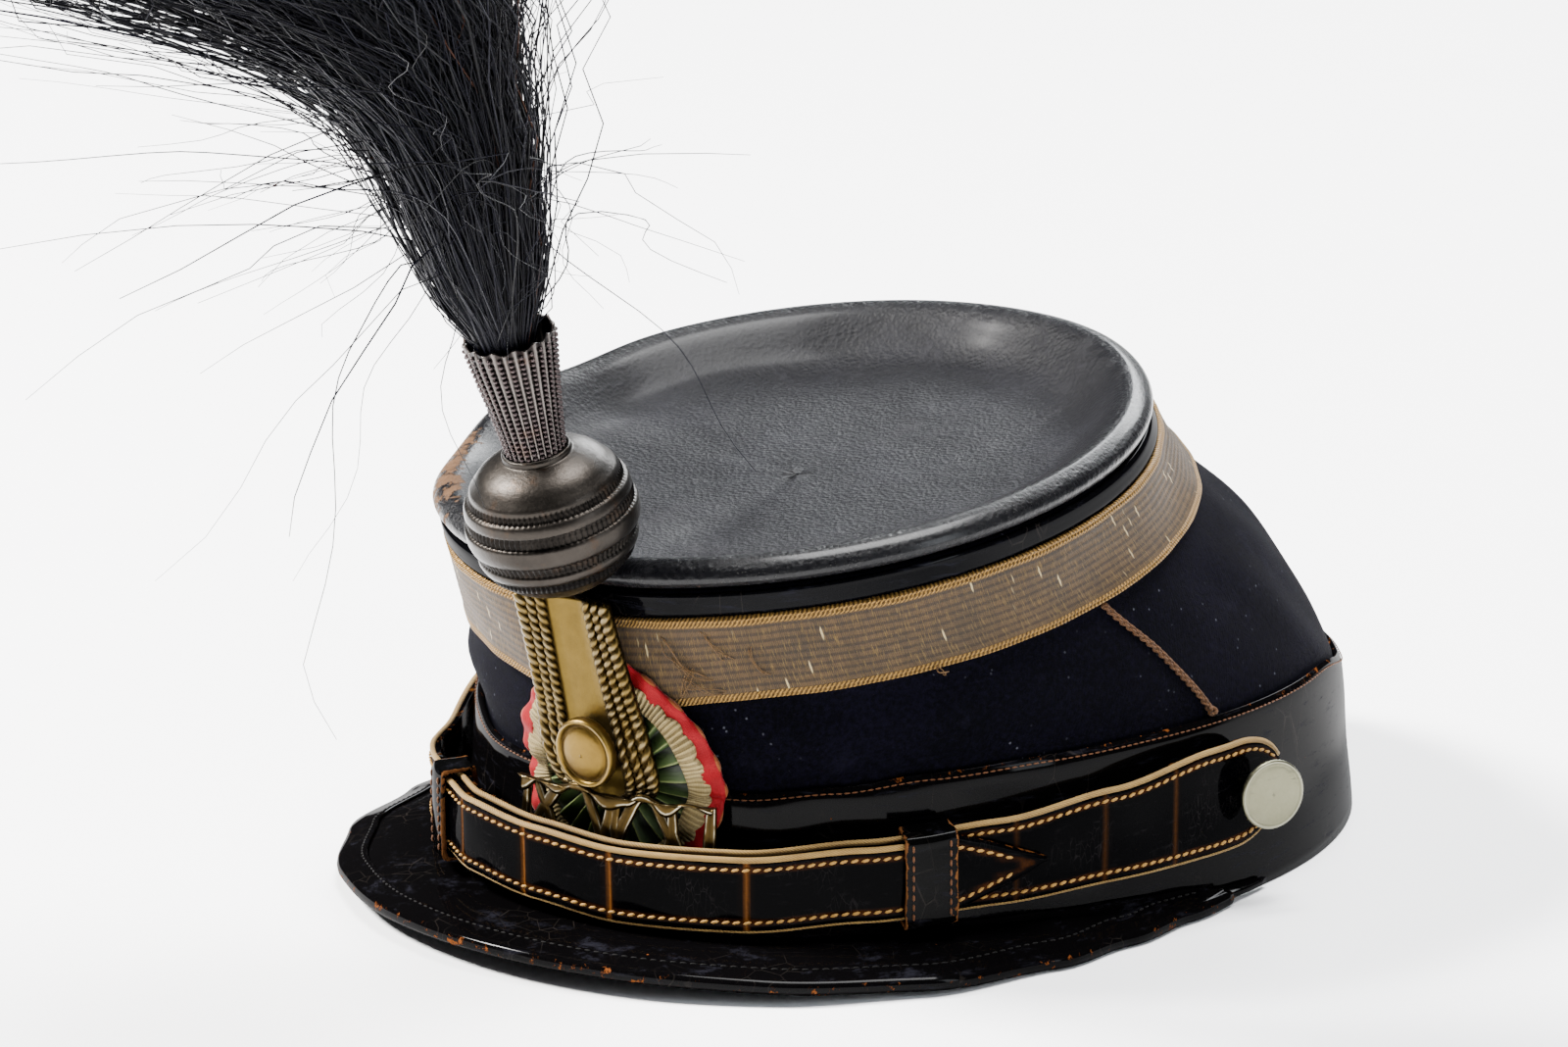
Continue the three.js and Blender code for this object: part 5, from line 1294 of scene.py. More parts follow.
ROPE_TURNS = 11.5
ROPE_THIN = 0.66
ROPE_THICK = 0.78  # the outermost rope's
parts = []
raised = []
for side in (-1, 1):
    for row in range(3):
        middle = side * (PLATE_HALF - (row + 0.5) * CORD_PITCH)
        for strand in (0, 1):
            share_run = np.linspace(0.004, 0.992, 210)
            beat = side * (share_run * ROPE_TURNS * 2 * math.pi + strand * math.pi)
            thick = (ROPE_THIN if row else ROPE_THICK) * np.sqrt(plate_spread(share_run))
            path = plate_point(middle + 0.62 * np.cos(beat) * thick / ROPE_THIN, share_run,
                               1.25 + 0.42 * np.sin(beat))
            rope_lift = plate_point(middle, share_run, 5.0) - plate_point(middle, share_run, 0.0)
            parts.append(tube(path, thick * 1.04, 8, lift=rope_lift))
            high = 0.45 + 0.3 * np.sin(beat)[:, None] + 0.35 * np.sin(whole_turn(8))[None, :]
            raised.append(high.ravel())
rope_brass = old_brass("rope_brass", (150, 124, 68), (88, 68, 32), (9, 6, 2), 0.15)
plate_ropes = merged("loop_plate_cords", parts, rope_brass,
                     {"raised": np.clip(np.concatenate(raised), 0, 1)})
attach(plate_ropes, "root")


def revolved(name, profile, middle, axis, material, steps, ribs=None, oval=(1, 1), side=None, values=None):
    """A turned piece round an axis: profile rows are radius and height, ribs a ripple per row."""
    axis = unit(np.asarray(axis, float))
    if side is None:
        side = np.cross([0.0, 0.0, 1.0] if abs(axis[2]) < 0.9 else [0.0, -1.0, 0.0], axis)
    side = unit(side)
    other = np.cross(axis, side)
    profile = np.asarray(profile, float)
    turn = whole_turn(steps)[:, None]
    radius = profile[None, :, 0] + (0 if ribs is None else ribs(turn, profile))
    points = (middle + radius[..., None] * (np.cos(turn)[..., None] * side * oval[0]
                                            + np.sin(turn)[..., None] * other * oval[1])
              + profile[None, :, 1, None] * axis)
    uv = flat_uv(turn * profile[:, 0].max(), profile[None, :, 1])
    count = len(profile)
    held = {key: np.broadcast_to(value, (steps, count)) for key, value in (values or {}).items()}
    made = mesh_piece(name, points, closed_rounds(steps, count), material, uv, held)
    outward(made)
    return made


BOSS_RADIUS = 7.3
BOSS_OUT = 5.55
boss_share = 1 - (BOSS_RADIUS * 1.6) / PLATE_LENGTH
boss_height = plate_top - boss_share * PLATE_LENGTH
boss_across = plate_middle(boss_share)
boss_side = trim_point(boss_across + 1, boss_height, 0) - trim_point(boss_across - 1, boss_height, 0)
boss_up = trim_point(boss_across, boss_height + 1, 0) - trim_point(boss_across, boss_height - 1, 0)
boss_facing = unit(np.cross(boss_side, boss_up))
BOSS_ROWS = [  # radius and height, from the middle of the dome over the rim to the back
    (0.05, 2.36), (2.6, 2.2), (4.6, 1.72), (5.4, 1.28), (5.75, 1.2), (6.1, 1.55), (6.6, 1.75), (7.0, 1.4),
    (7.15, 0.6), (7.0, -0.4), (6.5, -0.9)]
boss_rows = line_through(BOSS_ROWS, 5)
boss_raised = np.interp(boss_rows[:, 0], [0, 4.6, 5.7, 6.1, 6.6, 7.15], [0.7, 0.6, 0.08, 0.6, 1.0, 0.5])
boss = revolved("loop_button_boss", boss_rows, trim_point(boss_across, boss_height, BOSS_OUT), boss_facing,
                old_brass("boss_brass", (184, 150, 76), (116, 90, 40)), 60, None, (0.9, 0.99),
                boss_side, {"raised": boss_raised[None, :]})
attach(boss, "root")
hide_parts("loop_button")

GALLERY_HALF = 20.5
GALLERY_HEIGHT = 19.0
GALLERY_OUT = 5.55
GALLERY_RAIL = [  # place along and height, as shares
    (-1, 0.74), (-0.8, 0.86), (-0.56, 0.78), (-0.32, 0.98), (0, 0.74), (0.2, 0.78), (0.36, 0.98),
    (0.58, 0.74), (0.76, 0.9), (1, 0.78)]
GALLERY_BARS = [
    # foot along, foot height, top along, top height, bend aside, width in millimetres
    (-0.97, 0.05, -0.97, 0.74, 0.0, 1.8), (-0.62, 0.06, -0.86, 0.78, 0.10, 2.2),
    (-0.86, 0.06, -0.44, 0.88, -0.12, 2.5), (-0.36, 0.92, -0.06, 0.06, 0.10, 1.9),
    (-0.30, 0.06, 0.02, 0.74, 0.10, 2.5), (0.10, 0.74, 0.22, 0.06, -0.08, 1.8),
    (0.10, 0.06, 0.38, 0.92, -0.10, 2.4), (0.36, 0.88, 0.62, 0.06, 0.12, 2.0),
    (0.44, 0.06, 0.62, 0.72, 0.08, 2.2), (0.62, 0.72, 0.90, 0.06, -0.08, 1.7),
    (0.96, 0.05, 0.98, 0.80, 0.0, 2.2)]
gallery_shift = COCKADE_ACROSS + 0.06 * GALLERY_HALF * 2
gallery_foot = COCKADE_HEIGHT - GALLERY_HEIGHT - 0.3


def gallery_bar(path, width, lift=0.0):
    """A flat bar with rounded edges along a path drawn on the strip's own face."""
    path = np.asarray(path, float)
    ahead = unit(np.gradient(path, axis=0))
    aside = np.stack([-ahead[:, 1], ahead[:, 0]], 1)
    half = width / 2
    section = [(-0.8, 0.0), (-1.0, 0.3), (-1.0, 0.75), (-0.72, 1.08), (0.0, 1.14), (0.72, 1.08),
               (1.0, 0.75), (1.0, 0.3), (0.8, 0.0)]
    rows = []
    for across, out in section:
        flat = path + aside * across * half
        rows.append(trim_point(gallery_shift + flat[:, 0], gallery_foot + flat[:, 1],
                               GALLERY_OUT + lift + out))
    points = np.stack(rows, 1)
    count = len(section)
    last = (len(path) - 1) * count
    faces = [grid_faces(len(path), count, False, True), np.arange(count)[None],
             (np.arange(count) + last)[None, ::-1]]
    high = np.broadcast_to(np.array([0.1, 0.3, 0.6, 1.0, 0.5, 1.0, 0.6, 0.3, 0.1]), (len(path), count))
    uv = flat_uv(np.cumsum(np.full((len(path), count), 0.5), 0), 0.0)
    return points.reshape(-1, 3), faces, uv.reshape(-1, 2), high.ravel()


bars = []
along = np.linspace(-1, 1, 120)
rail_height = column(GALLERY_RAIL, along) * GALLERY_HEIGHT
rail = np.stack([along * GALLERY_HALF, rail_height], 1)
bars.append(gallery_bar(rail, 3.3, 0.6))
sill = np.stack([along * GALLERY_HALF, along * 0 + 0.07 * GALLERY_HEIGHT], 1)
bars.append(gallery_bar(sill, 1.9, 0.03))
for foot_along, foot_high, top_along, top_high, bend, width in GALLERY_BARS:
    share = np.linspace(0, 1, 18)
    run = foot_along + (top_along - foot_along) * share + bend * np.sin(math.pi * share)
    high = (foot_high + (top_high - foot_high) * share) * GALLERY_HEIGHT
    path = np.stack([run * GALLERY_HALF, high], 1)
    bars.append(gallery_bar(path, (width * (0.7 + 0.4 * np.sin(math.pi * share)))[:, None], -0.05))
for middle, size in ((-0.2, 2.5), (0.47, 2.4), (0.86, 2.0)):
    turn = np.linspace(math.pi * 1.05, -math.pi * 0.05, 20)
    arc = np.stack([middle * GALLERY_HALF + size * np.cos(turn),
                    0.1 * GALLERY_HEIGHT + size * 1.1 * np.sin(turn)], 1)
    bars.append(gallery_bar(arc, 1.3, -0.1))
curl_turn = np.linspace(0, math.pi * 1.6, 26)
curl = np.stack([-0.97 * GALLERY_HALF - 0.3 + (2.0 - curl_turn * 0.25) * np.cos(curl_turn + 1.2),
                 0.82 * GALLERY_HEIGHT + (1.7 - curl_turn * 0.2) * np.sin(curl_turn + 1.2)], 1)
bars.append(gallery_bar(curl, 1.3, 0.3))
gallery_brass = old_brass("gallery_brass", (112, 90, 48), (40, 30, 15), (8, 6, 3), 0.9)
gallery = merged("gallery_pierced_strip", bars, gallery_brass,
                 {"raised": np.concatenate([bar[3] for bar in bars])})
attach(gallery, "root")
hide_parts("gallery")

# Plume socket: a hollow silvered ball with bands of fine ribs, tarnished nearly black, pushed on to
# the front of the rim by its spike; above it a tulip of stamped metal in beaded columns.
BALL_TOP = 0.84 * BALL_HEIGHT / 2


def tarnished_silver(name, light, dark, copper, shine=0.28):
    """Silvering gone dark, with the copper under it showing where it is rubbed."""
    surface = Surface(name)
    mm = surface.mm
    cloud = mm.noise(0.16, 5, 0.65)
    fine = mm.noise(2.0, 5, 0.7)
    high = surface.attribute("raised")
    base = (high * 0.75 + cloud * 0.6 - 0.35).mix(colour(*dark), colour(*light))
    rubbed = mm.noise(0.13, 4, 0.7).step(0.54, 0.72) * (high * 0.7 + 0.3)
    base = (rubbed * 0.6).mix(base, colour(*copper))
    base = (fine.step(0.6, 0.75) * 0.5).mix(base, colour(22, 19, 18))
    rough = shine + cloud * 0.2 + fine.step(0.5, 0.75) * 0.15
    return surface.feed(Base_Color=base, Metallic=1.0 - fine.step(0.6, 0.75) * 0.3, Roughness=rough,
                        Normal=surface.bump((cloud * 0.5, 0.4), (fine * 0.04, 0.5)))


BALL_ROWS = [
    # radius and height as shares of half the ball, and 1 where it has fine ribs
    (0.06, -1.0, 0), (0.3, -0.97, 0), (0.5, -0.9, 0), (0.68, -0.78, 0), (0.8, -0.66, 0), (0.845, -0.58, 1),
    (0.86, -0.52, 1), (0.9, -0.5, 0), (0.925, -0.44, 0), (0.925, -0.38, 0), (0.91, -0.35, 1),
    (0.935, -0.28, 1), (0.945, -0.24, 1), (0.975, -0.22, 0), (0.995, -0.15, 0), (1.0, -0.06, 0),
    (0.995, 0.02, 0), (0.96, 0.05, 1),
    (0.965, 0.12, 1), (0.95, 0.17, 1), (0.965, 0.2, 0), (0.955, 0.28, 0), (0.93, 0.33, 0), (0.895, 0.36, 1),
    (0.88, 0.42, 1), (0.86, 0.44, 0), (0.85, 0.49, 0), (0.8, 0.55, 0), (0.71, 0.66, 0), (0.58, 0.75, 0),
    (0.44, 0.81, 0), (0.40, 0.825, 0), (0.40, 0.88, 0), (0.37, 0.9, 0)]
BALL_RIBS = 88
ball_line = line_through(BALL_ROWS, 2)
ball_profile = ball_line[:, :2] * [BALL_DIAMETER / 2, BALL_HEIGHT / 2]
ball_rib = np.clip(ball_line[:, 2], 0, 1)


def ball_ribs(turn, profile):
    """Fine upright ribs, cut into the bands of the ball that carry them."""
    return 0.22 * ball_rib[None, :] * (np.sin(turn * BALL_RIBS) - 0.7)


# The lower part of the ball, below 8 mm under its middle, is darkened as painted shade on its underside.
ball_high = np.clip(0.85 - ball_rib * 0.55 - 0.3 * (ball_profile[:, 1] < -8), 0, 1)
ball_metal = tarnished_silver("ball_silver", (92, 86, 80), (18, 16, 15), (92, 70, 52))
ball = revolved("plume_ball_metal", ball_profile, ball_middle, plume_line, ball_metal, BALL_RIBS * 4,
                ball_ribs, values={"raised": ball_high[None, :]})
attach(ball, "root")
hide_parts("plume_ball")

SPIKE_LENGTH = 9.0  # of what lies behind the plate
spike_path = [ball_middle - plume_line * BALL_HEIGHT * 0.44]
for share in (0.0, 0.2, 0.4, 0.7, 1.0):
    spike_path.append(trim_point(0.0, plate_top + 0.3 - share * SPIKE_LENGTH, 1.4))
spike_line = line_through(spike_path, 6)
spike_width = np.interp(np.linspace(0, 1, len(spike_line)), [0, 0.2, 1], [2.4, 2.4, 1.1])
spike_tube = tube(spike_line, spike_width, 10, 0.28, (0.0, -0.8, 0.6))
spike = merged("plume_ball_spike", [spike_tube], ball_metal, {"raised": np.full(len(spike_tube[0]), 0.5)})
outward(spike)
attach(spike, "root")

SLEEVE_LENGTH = 23.9
SLEEVE_FOOT = 10.6
SLEEVE_MOUTH = 17.4
SLEEVE_COLUMNS = 26
sleeve_base = BALL_TOP + 0.35


def sleeve_radius(share):
    return (SLEEVE_FOOT + (SLEEVE_MOUTH - SLEEVE_FOOT) * share ** 1.15) / 2


def sleeve_points(turn, share, out):
    """A point of the sleeve by its turn, its share of the length and how far it stands out."""
    turn, share, out = np.broadcast_arrays(turn, share, out)
    side = np.array([1.0, 0.0, 0.0])
    other = np.cross(plume_line, side)
    radius = sleeve_radius(share) + out
    scallop = 0.75 * (0.5 - 0.5 * np.cos(turn * SLEEVE_COLUMNS / 2)) * smooth(share, 0.9, 1.0)
    height = sleeve_base + share * SLEEVE_LENGTH + scallop
    around = np.cos(turn)[..., None] * side + np.sin(turn)[..., None] * other
    return ball_middle + radius[..., None] * around + height[..., None] * plume_line


sleeve_turn = whole_turn(SLEEVE_COLUMNS * 8)[:, None]
sleeve_share = np.concatenate([[0, 0.004], np.linspace(0.03, 0.97, 26), [0.985, 0.995, 1]])[None, :]
sleeve_rib = np.abs(np.cos(sleeve_turn * SLEEVE_COLUMNS / 2)) ** 8
sleeve_out = -0.2 + 0.3 * sleeve_rib + 0.35 * smooth(sleeve_share, 0.04, 0.0)
sleeve_outer = sleeve_points(sleeve_turn, sleeve_share, sleeve_out)
sleeve_inner = sleeve_points(sleeve_turn, sleeve_share, -0.75)
sleeve_metal = tarnished_silver("sleeve_silver", (186, 176, 170), (34, 28, 28), (150, 112, 92), 0.32)
sleeve = shell("plume_sleeve_metal", sleeve_outer, sleeve_inner, sleeve_metal,
               flat_uv(sleeve_turn * 7, sleeve_share * SLEEVE_LENGTH),
               values={"raised": 0.15 + 0.75 * sleeve_rib})
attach(sleeve, "root")
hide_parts("plume_sleeve")

BEADS_UP = 22
bead_turns = (np.arange(SLEEVE_COLUMNS) + 0.5) / SLEEVE_COLUMNS * 2 * math.pi
bead_shares = (np.arange(BEADS_UP) + 0.7) / (BEADS_UP + 0.8)
bead_turn, bead_share = np.meshgrid(bead_turns, bead_shares, indexing="ij")
bead_middle = sleeve_points(bead_turn, bead_share, 0.05).reshape(-1, 3)
bead_seat = sleeve_points(bead_turn, bead_share, 0.0).reshape(-1, 3)
bead_up = sleeve_points(bead_turn, bead_share, 1.0).reshape(-1, 3) - bead_seat
bead_ahead = sleeve_points(bead_turn, bead_share + 0.01, 0.0).reshape(-1, 3) - bead_seat
bead_silver = tarnished_silver("bead_silver", (240, 234, 230), (104, 92, 92), (176, 134, 120), 0.3)
beads = stitched("plume_sleeve_beads", bead_middle, bead_ahead, bead_up, bead_silver, 0.98, 0.52)
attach(beads, "root")

# Plume: black horsehair tied in the sleeve, dense at its root, falling forward and fanning out into
# matted locks and loose strays. Each hair is its own thin strand, with the crimp that old plumes have.
PLUME_LENGTH = 150.0
PLUME_WAY = -22.0  # the way that it falls: degrees from the front, below 0 towards the right
PLUME_FALL = 30.5  # degrees that the hair leans from upright, about the middle of its length
LOWEST_LEAN = 52
HIGHEST_LEAN = 11
UPRIGHT_SHARE = 0.12  # of the hairs that would lean less than that, the share that stays upright
LOCKS = 90
plume_mouth = ball_middle + plume_line * (BALL_TOP + 0.3 + SLEEVE_LENGTH)


def hair_material():
    """Black horsehair with a blue cast, a few strands of it brown."""
    surface = Surface("black_horsehair", Specular_IOR_Level=0.14, Anisotropic=0.5)
    along, _, _ = surface.uv.parts()
    tone = surface.attribute("tone")
    streak = surface.mm.noise(0.5, 3, 0.6)
    base = (tone * 0.7 + streak * 0.5 - 0.2).mix(colour(1, 1, 4), colour(17, 17, 38))
    base = (tone.step(0.992, 0.997) * 0.7).mix(base, colour(104, 58, 26))
    return surface.feed(Base_Color=base, Roughness=streak * 0.2 + 0.42,
                        Normal=surface.bump((along.wave(0.5) * 0.02, 0.4)))


# The room that the hair may fill, from the sizes of the hat: a little more in front and above.
hat_low, hat_high = first_size
room_low = (np.array([hat_low[0], hat_low[1] - 0.008, 0.05]) - HEAD) * 1000
room_high = (np.array([hat_high[0], hat_high[1], hat_high[2] + 0.010]) - HEAD) * 1000
hair_black = hair_material()


def hair(name, count, seed, spread, loose_share, crimp, points_each, thick):
    """Strands from the sleeve's mouth: spread widens the fan, loose_share of them go astray."""
    draw = np.random.default_rng(seed)
    lock = draw.integers(0, LOCKS, count)
    lock_lean = np.random.default_rng(5).normal(0, 1, LOCKS)[lock]
    lock_way = np.random.default_rng(6).normal(0, 1, LOCKS)[lock]
    lock_phase = np.random.default_rng(7).uniform(0, 6.28, LOCKS)[lock]
    lean = PLUME_FALL + 10.5 * spread * (0.86 * lock_lean + 0.5 * draw.normal(0, 1, count))
    lean = np.where(lean > LOWEST_LEAN, LOWEST_LEAN - draw.uniform(0, 16, count), lean)
    upright = draw.random(count) < UPRIGHT_SHARE
    raised = np.where(upright, draw.uniform(0, 10, count), draw.uniform(9, 24, count))
    lean = np.where(lean < HIGHEST_LEAN, raised, lean)
    stray_way = 0.8 * lock_way + 0.6 * draw.normal(0, 1, count)
    way = PLUME_WAY + 24 * spread * stray_way * np.clip(1.4 - lean / 45, 0.5, 1.4)
    astray = draw.random(count) < loose_share
    lean = lean + astray * draw.normal(0, 14, count)
    way = way + astray * draw.normal(0, 40, count)
    length = PLUME_LENGTH * (0.74 + 0.28 * smooth(lean, -4, 30)) * (0.62 + 0.40 * draw.beta(5, 1.6, count))
    length = np.where(astray, length * draw.uniform(0.4, 0.8, count), length)
    level = np.stack([np.sin(np.radians(way)), -np.cos(np.radians(way)), 0 * way], 1)
    disc = np.sqrt(draw.random(count))
    turn = draw.uniform(0, 2 * math.pi, count)
    side = np.array([1.0, 0.0, 0.0])
    other = np.cross(plume_line, side)
    toward = np.cos(turn)[:, None] * side + np.sin(turn)[:, None] * other
    lean_side = (level @ side)[:, None] * side
    lean_other = (level @ other)[:, None] * other
    toward = toward * 0.75 + lean_side * 0.2 + lean_other * 0.25
    toward /= np.maximum(np.linalg.norm(toward, axis=1, keepdims=True), 1)
    toward = toward * disc[:, None]
    root = plume_mouth - plume_line * 14 + toward * 4.0
    mouth = plume_mouth + toward * 6.6
    up = np.array([0.0, 0.0, 1.0])
    low = np.radians(lean * 0.55)[:, None]
    high = np.radians(lean * 1.36)[:, None]
    first_run = length[:, None] * 0.4 * (up * np.cos(low) + level * np.sin(low))
    last_run = length[:, None] * 0.6 * (up * np.cos(high) + level * np.sin(high))
    bend = mouth + first_run + toward * 6 * spread
    tip = bend + last_run + toward * 8 * spread
    tip = tip + draw.normal(0, 1, (count, 3)) * (4.0 + 16 * astray[:, None])
    tip = tip - up * (astray * draw.uniform(0, 28, count))[:, None]
    swell = mouth + (bend - mouth) * 0.26 + toward * 2.6
    swell = swell - level * draw.uniform(-0.5, 4.0, (count, 1))
    path = spline(np.stack([root, mouth, swell, bend, tip], 1), 8)
    path, _ = resampled(path, points_each)
    share = np.linspace(0, 1, points_each)[None, :, None]
    beat = share[..., 0] * length[:, None] / 13.0 + lock_phase[:, None]
    sway = draw.normal(0, 1, (count, 2)) * 0.5 + 1.0
    wave_a = np.sin(beat * 2 * math.pi * 0.55 + sway[:, :1]) * crimp * sway[:, :1]
    wave_b = np.cos(beat * 2 * math.pi * 0.45 + sway[:, 1:] * 2) * crimp * sway[:, 1:]
    grow = smooth(share[..., 0], 0.15, 0.7)
    path = path + (wave_a * grow)[..., None] * side + (wave_b * grow)[..., None] * np.cross(side, up)
    curl = astray[:, None] * draw.normal(0, 1, (count, 1)) * share[..., 0] ** 3 * 16
    path = path + curl[..., None] * np.cross(level, up)[:, None] + (np.abs(curl) * -0.6)[..., None] * up
    path = np.clip(path, room_low, room_high)
    ahead = unit(np.gradient(path, axis=1))
    across = unit(np.cross(ahead, side))
    over = np.cross(across, ahead)
    taper = thick * (1.15 - 0.75 * share ** 2) * draw.uniform(0.75, 1.25, (count, 1, 1))
    ring = []
    for corner in range(3):
        angle = corner * 2 * math.pi / 3
        ring.append(path + taper * (math.cos(angle) * across + math.sin(angle) * over))
    points = np.stack(ring, 2)
    one = grid_faces(points_each, 3, False, True)
    faces = (one[None] + (np.arange(count) * points_each * 3)[:, None, None]).reshape(-1, 4)
    run = np.broadcast_to(share[..., 0, None] * length[:, None, None], points.shape[:3])
    tone = np.broadcast_to(draw.random((count, 1, 1)), points.shape[:3])
    return mesh_piece(name, points, [faces], hair_black, flat_uv(run, 0.0), {"tone": tone})


inner_hair = hair("plume_hair_core", 1400, 21, 0.8, 0.0, 1.1, 9, 0.34)
middle_hair = hair("plume_hair_middle", 1900, 22, 1.0, 0.01, 1.8, 11, 0.21)
outer_hair = hair("plume_hair_outer", 2600, 23, 1.3, 0.02, 2.6, 13, 0.15)
stray_hair = hair("plume_hair_strays", 110, 24, 1.2, 0.85, 1.8, 25, 0.14)
for piece in (inner_hair, middle_hair, outer_hair, stray_hair):
    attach(piece, "root")
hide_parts("plume")

# Chin strap: two halves of varnished leather that overlap in front, each with a cream piping along
# its upper edge, a thin cream line below, and rows of orange-brown stitches; pointed tips, round tabs.
STRAP_ROWS = [
    # angle, height, stand-off, tab
    (-97, 1, 0, 1), (-84, 0.97, 0, 0.9), (-68, 0.8, 0, 0.3), (-50, 0.67, 0, 0.05), (-38, 0.72, 0.02, 0),
    (-29, 0.8, 0.15, 0), (-20, 0.84, 0.68, 0), (-12, 0.82, 1, 0), (0, 0.77, 1, 0), (12, 0.71, 1, 0),
    (26, 0.71, 0.9, 0), (40, 0.76, 0.4, 0.05), (56, 0.82, 0.12, 0.2), (70, 0.9, 0.03, 0.5),
    (84, 0.97, 0, 1), (97, 1, 0, 1)]
STRAP_WIDTH = 14.2
STRAP_TAB = 21.0
STRAP_HEIGHT = 22.9
STRAP_SEAT = 1.8
STRAP_STAND = 5.2  # how much further out it stands in front
STRAP_END = 96  # degrees
STITCH_INSET = 1.95


def strap_point(angle, across, out):
    """A point of the strap, across it from its middle line and out from its inner face."""
    angle, across, out = np.broadcast_arrays(np.asarray(angle, float), across, out)
    seat = STRAP_SEAT + STRAP_STAND * column(STRAP_ROWS, angle, 2)
    height = STRAP_HEIGHT * column(STRAP_ROWS, angle, 1) + across
    point = band_point(angle, 0.0) + band_normal(angle) * (seat + out)[..., None]
    point[..., 2] = height
    return point


def strap_half_width(side, tip, width, angle):
    """Half the width: pointed at the tip, wider and round at the end under the button."""
    end = side * STRAP_END
    full = width + (STRAP_TAB - width) * np.where(side * angle > 0, column(STRAP_ROWS, angle, 3), 0)
    from_tip = np.clip(np.abs(angle - tip) / 10, 0.03, 1)
    from_end = np.clip(np.abs(end - angle) / 8, 0.02, 1)
    return full / 2 * from_tip ** 0.8 * np.sqrt(1 - (1 - from_end) ** 2)


def strap_seat(side, seat, angle):
    """How far the upper half lies out over the lower one: nothing past the lower one's tip."""
    return seat * (1 - smooth(side * angle, 38, 54))


def strap_leather():
    """Varnished strap leather: cross creases rubbed brown, fine crackle, glossy between them."""
    surface = Surface("strap_patent", Coat_IOR=1.4, Coat_Roughness=0.06, Specular_IOR_Level=0.0)
    mm = surface.mm
    along, across, _ = surface.uv.parts()
    grain = mm.noise(1.3, 5, 0.65)
    soft = mm.noise(0.12, 4, 0.6)
    edge = surface.attribute("wear")
    crease = surface.attribute("crease")
    crack = mm.cells(1.0, (1, 1, 0.35), "DISTANCE_TO_EDGE").step(0.05, 0.01)
    cracked = crack * mm.noise(0.09, 3).step(0.5, 0.62)
    band_of_wear = surface.uv.noise(0.5, 5, 0.7, (0.35, 1.6, 1)).step(0.58, 0.7)
    worn = (mm.noise(0.4, 6, 0.75) + edge * 0.22).step(0.76, 0.81)
    creased = crease * (grain * 0.6 + 0.5)
    base = grain.mix(colour(1, 1, 2), colour(6, 6, 8))
    base = (band_of_wear * 0.1).mix(base, colour(74, 70, 74))
    base = (cracked * 0.16).mix(base, colour(88, 82, 84))
    base = worn.mix(base, soft.mix(colour(70, 38, 18), colour(132, 80, 40)))
    base = (surface.attribute("stain") * (grain * 0.9 + 0.1)).mix(base, colour(112, 64, 28))
    base = (creased.math("MINIMUM", 1.0) * 0.85).mix(base, colour(160, 98, 42))
    rough = 0.2 + grain * 0.1 + cracked * 0.3 + worn * 0.5 + creased * 0.3 + band_of_wear * 0.15
    bump = surface.bump((soft * 1.2, 0.5), (grain * 0.06 - cracked * 0.2 - worn * 0.2, 0.8),
                        (creased * -0.6, 0.7))
    return surface.feed(Base_Color=base, Roughness=rough, Coat_Weight=(1.0 - worn) * 0.035, Normal=bump)


strap_patent = strap_leather()
piping_cream = thread_material("cream_piping", (226, 186, 104), (116, 74, 28), 0.6)
stitch_orange = thread_material("orange_stitches", (232, 176, 84), (122, 78, 30), 0.6)


